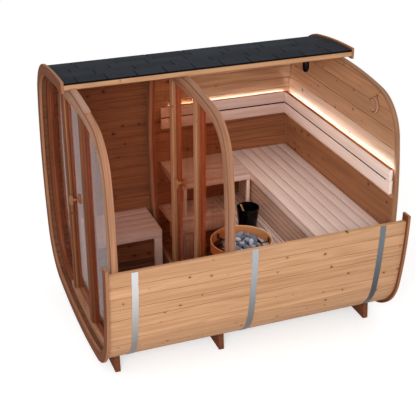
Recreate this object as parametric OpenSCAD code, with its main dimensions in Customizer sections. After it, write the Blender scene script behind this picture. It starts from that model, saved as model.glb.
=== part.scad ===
// Rounded-square garden sauna shown as a cutaway: the upper half of the near
// wall and the near half of the roof are left out so the two rooms can be seen.
// X runs along the barrel (glass front at -X), -Y is the cut side, Z is up and
// Z = 0 is the ground under the cradles. All sizes are millimetres.

/* [Which piece] */
// Piece to draw, or all of them

/* [Outer profile] */
// Overall length, over the two fascia rings
body_len = 2460; // [1600:10:3600]
// Half the width over the fascia rings
half_w = 1066; // [900:1:1300]
// Half the height over the fascia rings
half_h = 1050; // [900:1:1300]
// Radius of the bowed side walls
side_r = 3500; // [2500:10:8000]
// Radius of the bowed floor and roof
top_r = 4000; // [2500:10:8000]
// Radius of the four corners
corner_r = 440; // [250:5:600]
// Flat staves in one side, the floor or the roof
flat_staves = 13; // [7:2:19]
// Facets in one rounded corner
corner_facets = 12; // [6:1:18]
// Gap between the ground and the rings
ground_gap = 50; // [30:5:150]

/* [Shell] */
// How far the rings stand out past the staves
ring_proud = 28; // [15:1:45]
// Stave thickness
stave_t = 42; // [28:1:60]
// Fascia ring depth, outside to inside
ring_depth = 90; // [60:1:130]
// Fascia ring thickness along the barrel
ring_t = 22; // [18:1:50]
// Height of the cut in the near wall, above the middle of the profile
wall_cut = -55; // [-300:5:300]
// Height of the cut in the two rings, above the middle of the profile
ring_cut = 0; // [-300:5:300]
// Thickness of the roof shingles
shingle_t = 13; // [6:1:25]

/* [Cradles] */
// Thickness of one cradle along the barrel
cradle_t = 45; // [30:1:80]
// Half length of a cradle on the ground
cradle_half = 744; // [500:2:900]
// How much shorter a cradle is at the top of its ends
cradle_rake = 16; // [0:1:60]
// Centre of the front cradle, from the front of the sauna
cradle_front_x = 140; // [80:5:400]
// Centre of the middle cradle, from the front of the sauna
cradle_middle_x = 1008; // [700:5:1400]
// Centre of the rear cradle, from the rear of the sauna
cradle_rear_x = 135; // [80:5:400]

/* [Steel bands] */
// Width of a band
band_w = 50; // [20:1:80]
// Thickness of a band
band_t = 2.5; // [1.5:0.5:6]
// Centre of the front band, from the front
band_front_x = 222; // [190:2:500]
// Centre of the middle band, from the front
band_middle_x = 1156; // [1060:2:1500]
// Centre of the rear band, from the rear
band_rear_x = 224; // [190:2:500]

/* [Glazed walls] */
// Front face of the glazed front wall, from the front of the sauna
front_wall_x = 56; // [40:1:300]
// Front face of the partition, from the front of the sauna
partition_x = 953; // [700:1:1500]
// Depth of a curved frame along the barrel
frame_d = 56; // [40:1:90]
// Width of a curved frame
frame_w = 75; // [50:1:110]
// Length and depth of the rebate at the frame's outer front edge
rebate = 10; // [4:1:20]
// Depth of a door post along the barrel
post_d = 85; // [60:1:120]
// Width of a door post
post_w = 70; // [45:1:110]
// Clear width between the door posts
door_way = 500; // [420:5:760]
// Height of the sill and head above and below the frame's inner edge
rail_h = 25; // [15:1:80]
// Distance from the front of a frame to its glass
glass_set = 31; // [15:1:60]
// Glass thickness
glass_t = 8; // [5:1:12]
// Gap round the door glass
door_gap = 7; // [5:0.5:12]

/* [Door fittings] */
// Hinge height above and below the middle of the door
hinge_z = 620; // [300:5:760]
// Radius of a hinge knuckle
knuckle_r = 6; // [5:0.5:10]
// Radius of a hinge pin
pin_r = 3; // [2:0.5:4]
// Running clearance of a hinge pin
pin_gap = 0.3; // [0.1:0.05:0.6]
// Length of the moving knuckle
knuckle_len = 30; // [20:1:60]
// Length of each fixed knuckle
fixed_len = 16; // [10:1:40]
// Length of a clamp plate on the glass
clamp_len = 48; // [40:1:80]
// Thickness of a clamp plate
plate_t = 5; // [3:0.5:5]
// Radius of a clamp bolt
bolt_r = 5; // [3:0.5:6]
// Clearance of the moving pieces
run_gap = 5; // [5:0.5:10]
// Height of the door handle's bars
handle_len = 82; // [60:1:300]
// Width and thickness of a handle bar
handle_w = 26; // [18:1:40]
// Radius of a handle bar's rounded ends
handle_round = 11; // [4:1:12]
// Distance between the two handle bars, centre to centre
handle_span = 76; // [56:1:110]
// Distance from the latch post to the handle's middle
handle_in = 85; // [50:1:160]
// Handle height, above the middle of the profile
handle_up = -5; // [-200:5:200]

/* [Rear wall] */
// Rear face of the rear wall, from the rear of the sauna
rear_wall_x = 87; // [40:1:300]
// Thickness of the rear wall's curved rim
rim_t = 34; // [20:1:80]
// Width of the rim
rim_w = 25; // [15:1:130]
// How far the boards sit back from the rim's inner face
rim_step = 0; // [0:1:20]
// Board thickness of the rear wall
rear_t = 34; // [20:1:60]
// Radius of the round vent cover
vent_r = 68; // [40:1:100]
// Thickness of the vent cover
vent_t = 22; // [12:1:40]
// Vent centre: sideways place
vent_y = -590; // [-700:5:700]
// Vent centre above the middle of the profile
vent_z = 775; // [400:5:800]

/* [Benches] */
// Thickness of the seat boards
seat_t = 28; // [18:1:45]
// Thickness of a bench front
fascia_t = 45; // [25:1:60]
// Size of a square post between the upper and lower bench
prop_w = 28; // [20:1:60]
// Width of a leg under the lower benches
low_leg = 80; // [45:1:110]
// Thickness of the end boards and of the small legs
end_t = 28; // [18:1:45]
// Top of the upper benches, below the middle of the profile
upper_z = 160; // [60:5:400]
// Front edge of the upper bench on the far wall
upper_y = 500; // [300:5:700]
// Front edge of the upper bench on the rear wall, from the front
upper_x = 1765; // [1500:5:2100]
// Near end of the upper bench on the far wall, from the front
upper_start = 1080; // [1060:5:1300]
// Height of the upper bench fronts
upper_front = 80; // [50:1:140]
// Top of the lower benches, below the middle of the profile
lower_z = 530; // [400:5:700]
// Front edge of the lower bench on the far wall
lower_y = 485; // [200:5:700]
// Front edge of the lower bench on the rear wall, from the front
lower_x = 1515; // [1400:5:1700]
// Near end of the lower bench on the far wall, from the front
lower_start = 1010; // [1010:5:1300]
// Back edge of the lower benches
lower_back = 850; // [700:5:880]
// Height of the lower bench fronts
lower_front = 155; // [80:1:200]
// Top of the changing room bench, below the middle of the profile
changing_z = 575; // [400:5:700]
// Front edge of the changing room bench
changing_y = 460; // [300:5:700]
// Front face of the riser under the rear wall's upper bench, behind that bench's edge
riser_in = 25; // [10:5:120]
// Thickness of the riser boards
riser_t = 20; // [15:1:40]
// Changing room bench: end at the glass front, from the front
changing_x0 = 165; // [150:5:400]
// Changing room bench: end at the partition, from the front
changing_x1 = 907; // [600:1:940]
// Height of the changing room bench front
changing_front = 66; // [40:1:120]
// Width of a changing room bench leg
changing_leg = 65; // [40:1:90]

/* [Backrests and lights] */
// Thickness of a backrest slat
slat_t = 28; // [15:1:40]
// Width of the battens behind the backrests
batten_w = 45; // [30:1:70]
// Top of the upper slat, above the middle of the profile
slat_top = 385; // [250:5:500]
// Height of one slat
slat_h = 95; // [60:1:130]
// Gap between the two slats
slat_gap = 14; // [6:1:30]
// Front face of the backrest on the far wall
slat_y = 932; // [880:1:945]
// Gap between the backrest and the rear wall's rim
slat_back = 22; // [8:1:40]
// Size of the light strip behind the backrests
led_h = 12; // [6:1:20]
// Spotlight radius
spot_r = 28; // [15:1:45]
// Spotlight length below the roof boards
spot_len = 92; // [50:1:160]
// Spotlight place along the barrel, from the front
spot_x = 2040; // [1200:5:2250]
// Distance between the spotlight and the cut edge of the roof
spot_in = 8; // [2:1:60]

/* [Heater] */
// Heater centre, from the front
heater_x = 1300; // [1250:5:1340]
// Heater centre, sideways
heater_y = -430; // [-560:5:-300]
// Heater body radius
heater_r = 170; // [120:1:200]
// Top of the heater body, below the middle of the profile
heater_top = 350; // [300:5:600]
// Thickness of the heater's steel
heater_t = 4; // [2:0.5:8]
// Clear height under the heater body
heater_foot = 60; // [30:5:150]
// Height of the stone pile above the body
stones_h = 50; // [30:1:120]
// Depth of the stones inside the body
stones_in = 260; // [100:5:380]
// Guard hoop outer radius
hoop_r = 250; // [210:1:300]
// Guard hoop wall
hoop_t = 8; // [4:1:20]
// Guard hoop height
hoop_h = 90; // [50:1:160]
// Top of the guard hoop, below the middle of the profile
hoop_top = 300; // [200:5:500]
// Width of a guard bracket
bracket_w = 45; // [20:1:80]
// Thickness of a guard bracket
bracket_t = 5; // [3:1:10]
// Distance of the brackets below the top of the heater body
bracket_drop = 20; // [5:5:60]

/* [Bucket and ladle] */
// Bucket rim radius
bucket_r = 100; // [80:1:130]
// Bucket base radius
bucket_base = 80; // [60:1:110]
// Bucket height
bucket_h = 190; // [140:1:260]
// Bucket wall and base thickness
bucket_t = 6; // [3:1:12]
// Bucket centre, from the front
bucket_x = 1612; // [1400:2:1700]
// Bucket centre, sideways
bucket_y = 180; // [-300:2:380]
// Ladle handle radius
ladle_r = 7; // [4:0.5:10]
// Ladle bowl radius
bowl_r = 34; // [20:1:50]
// Gap between the ladle's bowl and the bucket
ladle_gap = 2; // [1:0.5:6]
// Length of the ladle's handle
ladle_len = 237; // [150:1:320]
// Lean of the handle from upright
ladle_lean = 24; // [5:1:28]
// Direction the handle leans to, turned from the rear of the sauna
ladle_turn = 200; // [0:5:355]

/* [Hidden] */
big = 3 * half_w;
axis_z = half_h + ground_gap;
x_front = -body_len / 2;
x_rear = body_len / 2;
stave_out = ring_proud;
stave_in = ring_proud + stave_t;
frame_in = stave_in + frame_w;
rim_in = stave_in + rim_w;
shell_x0 = x_front + ring_t;
shell_x1 = x_rear - ring_t;
rear_x1 = x_rear - rear_wall_x;
rear_x0 = rear_x1 - rim_t;
board_x0 = rear_x0 + rim_step;
post_in = door_way / 2;
post_out = post_in + post_w;
rail_z = half_h - frame_in - rail_h;
door_half = rail_z - door_gap;
slat_mid = slat_top - slat_h;
slat_low = slat_mid - slat_gap - slat_h;
end_slat_x1 = rear_x0 - slat_back;
end_slat_x0 = end_slat_x1 - slat_t;
shoulder = 175;
riser_x = x_front + upper_x + riser_in;
hinge_off = knuckle_r + run_gap;
arm_t = knuckle_r * 1.4;
bolt_at = [clamp_len / 3, clamp_len * 3 / 4];
floor_z = stave_in - half_h;
$fn = 64;

// Colours of the finished sauna
c_out = [0.78, 0.56, 0.37];
c_in = [0.50, 0.29, 0.16];
c_ring = [0.72, 0.50, 0.36];
c_pale = [0.80, 0.62, 0.54];
c_dark = [0.20, 0.12, 0.08];
c_roof = [0.17, 0.19, 0.24];
c_steel = [0.74, 0.77, 0.80];
c_smoke = [0.56, 0.50, 0.55, 0.55];
c_bronze = [0.45, 0.22, 0.12, 0.45];
c_black = [0.06, 0.06, 0.07];
c_stone = [0.48, 0.52, 0.57];
c_hoop = [0.79, 0.54, 0.29];
c_light = [1.0, 0.90, 0.70];

// ---- the rounded-square outline -------------------------------------------

// Centres of the far side arc and of the roof arc
side_c = [half_w - side_r, 0];
roof_c = [0, half_h - top_r];

// Centre of the far top corner: a circle tangent inside both arcs
function corner_centre() =
    let (d = roof_c - side_c, dist = norm(d), e = d / dist,
         r1 = side_r - corner_r, r2 = top_r - corner_r,
         a = (r1 * r1 - r2 * r2 + dist * dist) / (2 * dist),
         h = sqrt(r1 * r1 - a * a))
    side_c + a * e + h * [-e[1], e[0]];

corner_c = corner_centre();
side_a = atan2(corner_c[1], corner_c[0] - side_c[0]);
roof_a = atan2(corner_c[1] - roof_c[1], corner_c[0]);

function arc(c, r, a0, a1, n) =
    [for (i = [0:n]) c + r * [cos(a0 + (a1 - a0) * i / n), sin(a0 + (a1 - a0) * i / n)]];

// The eight runs of the outline, set in by o: 0 far side, 1 far top corner,
// 2 roof, 3 near top corner, 4 near side, 5 near bottom corner, 6 floor,
// 7 far bottom corner
function run(k, o) =
    k == 0 ? arc(side_c, side_r - o, -side_a, side_a, flat_staves) :
    k == 1 ? arc(corner_c, corner_r - o, side_a, roof_a, corner_facets) :
    k == 2 ? arc(roof_c, top_r - o, roof_a, 180 - roof_a, flat_staves) :
    k == 3 ? arc([-corner_c[0], corner_c[1]], corner_r - o, 180 - roof_a, 180 - side_a, corner_facets) :
    k == 4 ? arc(-side_c, side_r - o, 180 - side_a, 180 + side_a, flat_staves) :
    k == 5 ? arc(-corner_c, corner_r - o, 180 + side_a, 180 + roof_a, corner_facets) :
    k == 6 ? arc(-roof_c, top_r - o, 180 + roof_a, 360 - roof_a, flat_staves) :
             arc([corner_c[0], -corner_c[1]], corner_r - o, 360 - roof_a, 360 - side_a, corner_facets);

function tail(p) = [for (i = [1:len(p) - 1]) p[i]];
function flip(p) = [for (i = [len(p) - 1:-1:0]) p[i]];

// Points along several runs in order, without doubled ends
function runs(ks, o, i = 0) =
    i == 0 ? concat(run(ks[0], o), runs(ks, o, 1)) :
    i < len(ks) ? concat(tail(run(ks[i], o)), runs(ks, o, i + 1)) : [];

function outline(o) = tail(runs([0, 1, 2, 3, 4, 5, 6, 7], o));

// A w by h rectangle about its centre with corners of radius r
function rounded_box(w, h, r) =
    [for (q = [0:3], i = [0:4])
        let (sx = q == 0 || q == 3 ? 1 : -1, sy = q < 2 ? 1 : -1, a = q * 90 + i * 22.5)
        [sx * (w / 2 - r) + r * cos(a), sy * (h / 2 - r) + r * sin(a)]];

// ---- shared modules --------------------------------------------------------

// Lays a sideways-and-up outline, drawn about the middle of the profile,
// between two places along the barrel
module along(x0, x1) {
    translate([x0, 0, axis_z]) rotate([90, 0, 90]) linear_extrude(x1 - x0) children();
}

// A closed hoop of the profile between two set-ins
module hoop(o1, o2, x0, x1) {
    along(x0, x1) difference() {
        polygon(outline(o1));
        polygon(outline(o2));
    }
}

// Part of the hoop, along the listed runs
module part_hoop(o1, o2, ks, x0, x1) {
    along(x0, x1) polygon(concat(runs(ks, o1), flip(runs(ks, o2))));
}

// The corner that is cut away, above height z of the profile
module cutaway(z) {
    translate([-big, -big, axis_z + z]) cube([2 * big, big, big]);
}

// A block between two places, trimmed to the room inside set-in o
module fitted(o, x0, x1, y0, y1, z0, z1) {
    along(x0, x1) intersection() {
        polygon(outline(o));
        translate([y0, z0]) square([y1 - y0, z1 - z0]);
    }
}

// A plain block, heights counted from the middle of the profile
module block(x0, x1, y0, y1, z0, z1) {
    translate([x0, y0, axis_z + z0]) cube([x1 - x0, y1 - y0, z1 - z0]);
}

// ---- base and shell --------------------------------------------------------

module cradle(x) {
    color(c_dark) along(x - cradle_t / 2, x + cradle_t / 2) difference() {
        polygon([[-cradle_half, -axis_z], [cradle_half, -axis_z],
                 [cradle_half - cradle_rake, shoulder - axis_z], [cradle_rake - cradle_half, shoulder - axis_z]]);
        polygon(outline(stave_out));
    }
}

module cradle_front() { cradle(x_front + cradle_front_x); }
module cradle_middle() { cradle(x_front + cradle_middle_x); }
module cradle_rear() { cradle(x_rear - cradle_rear_x); }

module floor_staves() {
    color(c_in) part_hoop(stave_out, stave_in, [6], shell_x0, shell_x1);
}

module near_wall_staves() {
    color(c_out) difference() {
        part_hoop(stave_out, stave_in, [4, 5], shell_x0, shell_x1);
        cutaway(wall_cut);
    }
}

module far_wall_staves() {
    color(c_in) part_hoop(stave_out, stave_in, [7, 0], shell_x0, shell_x1);
}

module roof_staves() {
    color(c_in) difference() {
        part_hoop(stave_out, stave_in, [1, 2], shell_x0, shell_x1);
        cutaway(0);
    }
}

module fascia_ring(x0) {
    color(c_ring) difference() {
        hoop(0, ring_depth, x0, x0 + ring_t);
        cutaway(ring_cut);
    }
}

module front_ring() { fascia_ring(x_front); }
module rear_ring() { fascia_ring(shell_x1); }

module roof_shingles() {
    color(c_roof) difference() {
        part_hoop(stave_out - shingle_t, stave_out, [1, 2], shell_x0, shell_x1);
        cutaway(0);
    }
}

module steel_band(x) {
    color(c_steel) difference() {
        part_hoop(stave_out - band_t, stave_out, [4, 5, 6, 7, 0], x - band_w / 2, x + band_w / 2);
        cutaway(wall_cut);
    }
}

module band_front() { steel_band(x_front + band_front_x); }
module band_middle() { steel_band(x_front + band_middle_x); }
module band_rear() { steel_band(x_rear - band_rear_x); }

// ---- glazed walls ----------------------------------------------------------

// Curved frame with a rebate round its outer front edge, a sill and a head
module wall_frame(x) {
    color(c_pale * 0.93) union() {
        hoop(stave_in, frame_in, x + rebate, x + frame_d);
        hoop(stave_in + rebate, frame_in, x, x + rebate);
        for (s = [-1, 1])
            fitted(frame_in, x, x + post_d, -post_in, post_in,
                   s > 0 ? rail_z : -half_h, s > 0 ? half_h : -rail_z);
    }
}

module door_posts(x) {
    color(c_out) for (s = [-1, 1])
        fitted(frame_in, x, x + post_d, min(s * post_in, s * post_out), max(s * post_in, s * post_out),
               -half_h, half_h);
}

module side_lights(x) {
    for (s = [-1, 1])
        fitted(frame_in, x + glass_set, x + glass_set + glass_t,
               s > 0 ? post_out : -big, s > 0 ? big : -post_out, -half_h, half_h);
}

// Hinge axis of a door in the wall whose front face is at x
function hinge_at(x) = [x + glass_set - hinge_off, -post_in + knuckle_r + run_gap];

// Fixed half of one hinge: two knuckles on the post and the pin through them
module hinge_fixed() {
    for (s = [-1, 1])
        translate([0, 0, s * (knuckle_len / 2 + 1 + fixed_len / 2)]) {
            cylinder(r = knuckle_r, h = fixed_len, center = true);
            translate([-arm_t / 2, -knuckle_r - run_gap, -fixed_len / 2])
                cube([arm_t, knuckle_r + run_gap, fixed_len]);
        }
    cylinder(r = pin_r, h = knuckle_len + 2 + 2 * fixed_len, center = true);
}

// Moving half of one hinge: a knuckle and two plates bolted through the glass
module hinge_moving() {
    g = hinge_off;
    difference() {
        union() {
            cylinder(r = knuckle_r, h = knuckle_len, center = true);
            translate([0, -arm_t / 2, -knuckle_len / 2]) cube([g, arm_t, knuckle_len]);
            translate([g - plate_t, -arm_t / 2, -knuckle_len / 2]) cube([plate_t, clamp_len, knuckle_len]);
        }
        cylinder(r = pin_r + pin_gap, h = knuckle_len + 2, center = true);
    }
    translate([g + glass_t, 0, -knuckle_len / 2]) cube([plate_t, clamp_len - arm_t / 2, knuckle_len]);
    for (b = bolt_at) translate([g, b, 0]) rotate([0, 90, 0]) cylinder(r = bolt_r, h = glass_t);
}

module hinge_pair(x) {
    for (s = [-1, 1]) translate([hinge_at(x)[0], hinge_at(x)[1], axis_z + s * hinge_z]) children();
}

module door_pane(x) {
    gx = x + glass_set;
    difference() {
        block(gx, gx + glass_t, -post_in + door_gap, post_in - door_gap, -door_half, door_half);
        for (s = [-1, 1], b = bolt_at)
            translate([gx - 1, hinge_at(x)[1] + b, axis_z + s * hinge_z])
                rotate([0, 90, 0]) cylinder(r = bolt_r, h = glass_t + 2);
        translate([gx - 1, post_in - handle_in, axis_z + handle_up])
            rotate([0, 90, 0]) cylinder(r = handle_w / 2 - 2, h = glass_t + 2);
    }
}

// Two upright wooden bars joined by a dowel through the glass
module door_pull(x) {
    gx = x + glass_set + glass_t / 2;
    color(c_hoop) translate([gx, post_in - handle_in, axis_z + handle_up]) {
        for (s = [-1, 1]) translate([s * handle_span / 2, 0, 0])
            rotate([90, 0, 0]) translate([0, 0, -handle_w / 2]) linear_extrude(handle_w)
                polygon(rounded_box(handle_w, handle_len, handle_round));
        rotate([0, 90, 0]) cylinder(r = handle_w / 2 - 2, h = handle_span - handle_w, center = true);
    }
}

fx = x_front + front_wall_x;
px = x_front + partition_x;

module front_frame() { wall_frame(fx); }
module front_posts() { door_posts(fx); }
module front_side_glass() { color(c_smoke) side_lights(fx); }
module front_hinge_plates() { color(c_steel) hinge_pair(fx) hinge_fixed(); }
module front_door_glass() { color(c_smoke) door_pane(fx); }
module front_door_hinges() { color(c_steel) hinge_pair(fx) hinge_moving(); }
module front_door_handle() { door_pull(fx); }

module partition_frame() { wall_frame(px); }
module partition_posts() { door_posts(px); }
module partition_side_glass() { color(c_bronze) side_lights(px); }
module partition_hinge_plates() { color(c_steel) hinge_pair(px) hinge_fixed(); }
module partition_door_glass() { color(c_bronze) door_pane(px); }
module partition_door_hinges() { color(c_steel) hinge_pair(px) hinge_moving(); }
module partition_door_handle() { door_pull(px); }

// ---- rear wall -------------------------------------------------------------

module rear_wall() {
    color(c_in) along(board_x0, board_x0 + rear_t) polygon(outline(rim_in));
}

module rear_wall_rim() {
    color(c_ring) hoop(stave_in, rim_in, rear_x0, rear_x1);
}

module vent_cover() {
    color(c_out) translate([board_x0, vent_y, axis_z + vent_z]) rotate([0, -90, 0])
        rotate_extrude() polygon([[0, 0], [vent_r, 0], [vent_r, vent_t - 6], [vent_r - 6, vent_t], [0, vent_t]]);
}

// ---- benches ---------------------------------------------------------------

// Seat, front and legs of the changing room bench
module changing_bench() {
    x0 = x_front + changing_x0;
    x1 = x_front + changing_x1;
    color(c_pale) {
        fitted(stave_in, x0, x1, changing_y, big, -changing_z - seat_t, -changing_z);
        block(x0, x1, changing_y, changing_y + fascia_t, -changing_z - changing_front, -changing_z - seat_t);
        for (x = [x0, x1 - changing_leg])
            fitted(stave_in, x, x + changing_leg, changing_y, changing_y + fascia_t, -half_h, -changing_z - changing_front);
    }
}

// Seat, front and end board on the far wall, with two posts on the lower bench
module upper_bench_far() {
    x0 = x_front + upper_start;
    x1 = x_front + upper_x;
    color(c_pale) {
        fitted(stave_in, x0, x1, upper_y, big, -upper_z - seat_t, -upper_z);
        block(x0, x1, upper_y, upper_y + fascia_t, -upper_z - upper_front, -upper_z - seat_t);
        fitted(stave_in, x0, x0 + end_t, upper_y + fascia_t, big, -upper_z - upper_front, -upper_z - seat_t);
        for (x = [x0 + 2 * prop_w, x1 - prop_w])
            block(x, x + prop_w, upper_y, upper_y + prop_w, -lower_z, -upper_z - upper_front);
    }
}

module upper_bench_end() {
    x0 = x_front + upper_x;
    color(c_pale) {
        fitted(stave_in, x0, rear_x0, -big, big, -upper_z - seat_t, -upper_z);
        fitted(stave_in, x0, riser_x, -big, upper_y + fascia_t, -upper_z - upper_front, -upper_z - seat_t);
    }
}

// Boards that close the space under the rear wall's upper bench
module bench_riser() {
    color(c_pale) block(riser_x, riser_x + riser_t, end_t - lower_back, lower_back - end_t,
                        -lower_z, -upper_z - seat_t);
}

// Lower bench on the far wall: seat, front, one wide leg and two at the back
module lower_bench_far() {
    x0 = x_front + lower_start;
    x1 = x_front + lower_x;
    xl = x0 + 130;
    color(c_pale) {
        block(x0, x1, lower_y, lower_back, -lower_z - seat_t, -lower_z);
        block(x0, x1, lower_y, lower_y + fascia_t, -lower_z - lower_front, -lower_z - seat_t);
        fitted(stave_in, xl, xl + low_leg, lower_y, lower_y + fascia_t, -half_h, -lower_z - lower_front);
        for (x = [xl, x1 - low_leg])
            fitted(stave_in, x, x + low_leg, lower_back - end_t, lower_back, -half_h, -lower_z - seat_t);
    }
}

// Lower bench across the rear wall: seat, front and four legs
module lower_bench_end() {
    x0 = x_front + lower_x;
    x1 = riser_x + riser_t;
    color(c_pale) {
        block(x0, x1, -lower_back, lower_back, -lower_z - seat_t, -lower_z);
        block(x0, x0 + fascia_t, -lower_back, lower_y + fascia_t, -lower_z - lower_front, -lower_z - seat_t);
        for (y = [lower_y, -lower_y - low_leg])
            fitted(stave_in, x0, x0 + fascia_t, y, y + (y > 0 ? fascia_t : low_leg), -half_h, -lower_z - lower_front);
        for (y = [lower_back - low_leg, -lower_back])
            fitted(stave_in, x1 - end_t, x1, y, y + low_leg, -half_h, -lower_z - seat_t);
    }
}

// ---- backrests and lights --------------------------------------------------

module backrest_far() {
    x0 = x_front + upper_start;
    color(c_pale) {
        for (z = [slat_mid, slat_low]) block(x0, end_slat_x0, slat_y, slat_y + slat_t, z, z + slat_h);
        for (x = [x0 + 60, (x0 + end_slat_x0) / 2, end_slat_x0 - 120])
            fitted(stave_in, x, x + batten_w, slat_y + slat_t, big, slat_low + 10, slat_top - 20 - led_h);
    }
}

module backrest_end() {
    color(c_pale) {
        for (z = [slat_mid, slat_low])
            fitted(stave_in, end_slat_x0, end_slat_x1, -big, slat_y + slat_t, z, z + slat_h);
        fitted(stave_in, end_slat_x0, end_slat_x1, -big, -slat_y + 8, slat_mid - slat_gap, slat_mid);
        for (y = [-820, 0, 780])
            block(end_slat_x1, board_x0, y, y + batten_w, slat_low + 10, slat_top - 20 - led_h);
    }
}

module led_strips() {
    color(c_light) {
        fitted(stave_in + 2, x_front + upper_start, end_slat_x0, slat_y + slat_t, big,
               slat_top - 4 - led_h, slat_top - 4);
        fitted(rim_in, end_slat_x1, end_slat_x1 + led_h, -big, slat_y, slat_top - 4 - led_h, slat_top - 4);
    }
}

module spotlight() {
    color(c_black) intersection() {
        translate([x_front + spot_x, spot_r + spot_in, axis_z + half_h - stave_in - spot_len]) rotate_extrude()
            polygon([[0, 0], [spot_r * 0.6, 0], [spot_r, spot_len * 0.3], [spot_r, spot_len + 5], [0, spot_len + 5]]);
        along(x_front, x_rear) polygon(outline(stave_in));
    }
}

// ---- heater ----------------------------------------------------------------

// Places its children on the heater's axis, at a height above the middle
module at_heater(z) {
    translate([x_front + heater_x, heater_y, axis_z + z]) children();
}

// Open drum with a deck for the stones, on four feet
module heater() {
    h = -heater_top - floor_z - heater_foot;
    r = heater_r - heater_t;
    color(c_black) at_heater(floor_z + heater_foot) rotate_extrude()
        polygon([[r, 0], [heater_r, 0], [heater_r, h], [r, h], [r, h - stones_in], [0, h - stones_in],
                 [0, h - stones_in - heater_t], [r, h - stones_in - heater_t]]);
    color(c_black) intersection() {
        for (a = [45:90:315]) at_heater(-half_h) rotate([0, 0, a])
            translate([heater_r - 30, -15, 0]) cube([30 - heater_t / 2, 30, half_h + floor_z + heater_foot + 20]);
        along(x_front, x_rear) polygon(outline(stave_in));
    }
}

module heater_stones() {
    r = heater_r - heater_t;
    color(c_stone) at_heater(-heater_top - stones_in) rotate_extrude()
        polygon(concat([[0, 0], [r, 0]], [for (i = [0:8]) [r * cos(i * 90 / 8), stones_in + stones_h * sin(i * 90 / 8)]]));
}

module heater_guard() {
    color(c_hoop) at_heater(-hoop_top - hoop_h) rotate_extrude()
        translate([hoop_r - hoop_t, 0]) square([hoop_t, hoop_h]);
}

// Three brackets that hold the hoop out from the heater: an arm, an upright
// against the hoop and a gusset between them
module guard_legs() {
    r = hoop_r - hoop_t;
    top = heater_top + bracket_drop - hoop_top - hoop_h / 6;
    color(c_black) at_heater(-heater_top - bracket_drop) difference() {
        intersection() {
            for (a = [0:120:240]) rotate([0, 0, a]) {
                translate([0, -bracket_w / 2, 0]) cube([r, bracket_w, bracket_t]);
                translate([r - 2 * bracket_t, -bracket_w / 2, 0]) cube([2 * bracket_t, bracket_w, top]);
                translate([0, bracket_t / 2, 0]) rotate([90, 0, 0]) linear_extrude(bracket_t)
                    polygon([[heater_r - 5, 0], [r, 0], [r, top], [r - 2 * bracket_t, top]]);
            }
            cylinder(r = r, h = half_h);
        }
        translate([0, 0, -1]) cylinder(r = heater_r, h = half_h);
    }
}

// ---- loose things ----------------------------------------------------------

module bucket() {
    color(c_black) translate([x_front + bucket_x, bucket_y, axis_z - lower_z]) rotate_extrude()
        polygon([[0, 0], [bucket_base, 0], [bucket_r, bucket_h], [bucket_r - bucket_t, bucket_h],
                 [bucket_base - bucket_t, bucket_t], [0, bucket_t]]);
}

// Ladle: bowl on the bucket's base, at the side away from its leaning handle
module ladle() {
    off = bucket_base - bucket_t - bowl_r - ladle_gap;
    color(c_hoop) translate([x_front + bucket_x, bucket_y, axis_z - lower_z + bucket_t]) rotate([0, 0, ladle_turn]) {
        translate([-off, 0, 0]) rotate_extrude()
            polygon([[0, 0], [bowl_r * 0.7, 0], [bowl_r, 22], [bowl_r - 3, 22], [bowl_r * 0.7 - 2, 3], [0, 3]]);
        translate([bowl_r - 8 - off, 0, 12]) rotate([0, ladle_lean, 0]) cylinder(r = ladle_r, h = ladle_len);
    }
}

// ---- drawing ---------------------------------------------------------------

cradle_front();
cradle_middle();
cradle_rear();
floor_staves();
near_wall_staves();
far_wall_staves();
roof_staves();
front_ring();
rear_ring();
roof_shingles();
band_front();
band_middle();
band_rear();
front_frame();
front_posts();
front_side_glass();
front_hinge_plates();
front_door_glass();
front_door_hinges();
front_door_handle();
partition_frame();
partition_posts();
partition_side_glass();
partition_hinge_plates();
partition_door_glass();
partition_door_hinges();
partition_door_handle();
rear_wall();
rear_wall_rim();
vent_cover();
changing_bench();
upper_bench_far();
upper_bench_end();
lower_bench_far();
lower_bench_end();
bench_riser();
backrest_far();
backrest_end();
led_strips();
spotlight();
heater();
heater_stones();
heater_guard();
guard_legs();
bucket();
ladle();
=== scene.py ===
"""Looks of the cube sauna: boards, shingles, stones, glass and a plain studio round the frame.

Lengths are metres. Inside this file most places are given as the part's source
gives them: x from the front of the sauna, y sideways, z from the middle of the profile.
"""
import math
import random

import bmesh
import bpy
import numpy as np
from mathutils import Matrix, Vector


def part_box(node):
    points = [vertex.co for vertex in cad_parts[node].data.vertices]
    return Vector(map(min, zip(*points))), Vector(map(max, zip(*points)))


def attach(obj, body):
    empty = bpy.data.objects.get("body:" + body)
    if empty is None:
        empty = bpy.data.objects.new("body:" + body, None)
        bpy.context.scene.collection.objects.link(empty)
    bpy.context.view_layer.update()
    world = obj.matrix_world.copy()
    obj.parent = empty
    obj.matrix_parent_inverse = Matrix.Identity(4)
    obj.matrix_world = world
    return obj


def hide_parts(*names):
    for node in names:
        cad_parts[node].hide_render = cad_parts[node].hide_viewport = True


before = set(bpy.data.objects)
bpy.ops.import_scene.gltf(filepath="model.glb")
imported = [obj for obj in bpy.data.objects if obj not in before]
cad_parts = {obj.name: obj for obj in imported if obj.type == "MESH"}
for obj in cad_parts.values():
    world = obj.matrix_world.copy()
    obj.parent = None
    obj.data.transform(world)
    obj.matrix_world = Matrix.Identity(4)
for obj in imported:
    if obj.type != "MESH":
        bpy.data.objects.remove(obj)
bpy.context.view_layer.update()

# ---- the rounded-square profile ----
# A set-in is how far something lies inside the outline of the fascia rings.

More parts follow.
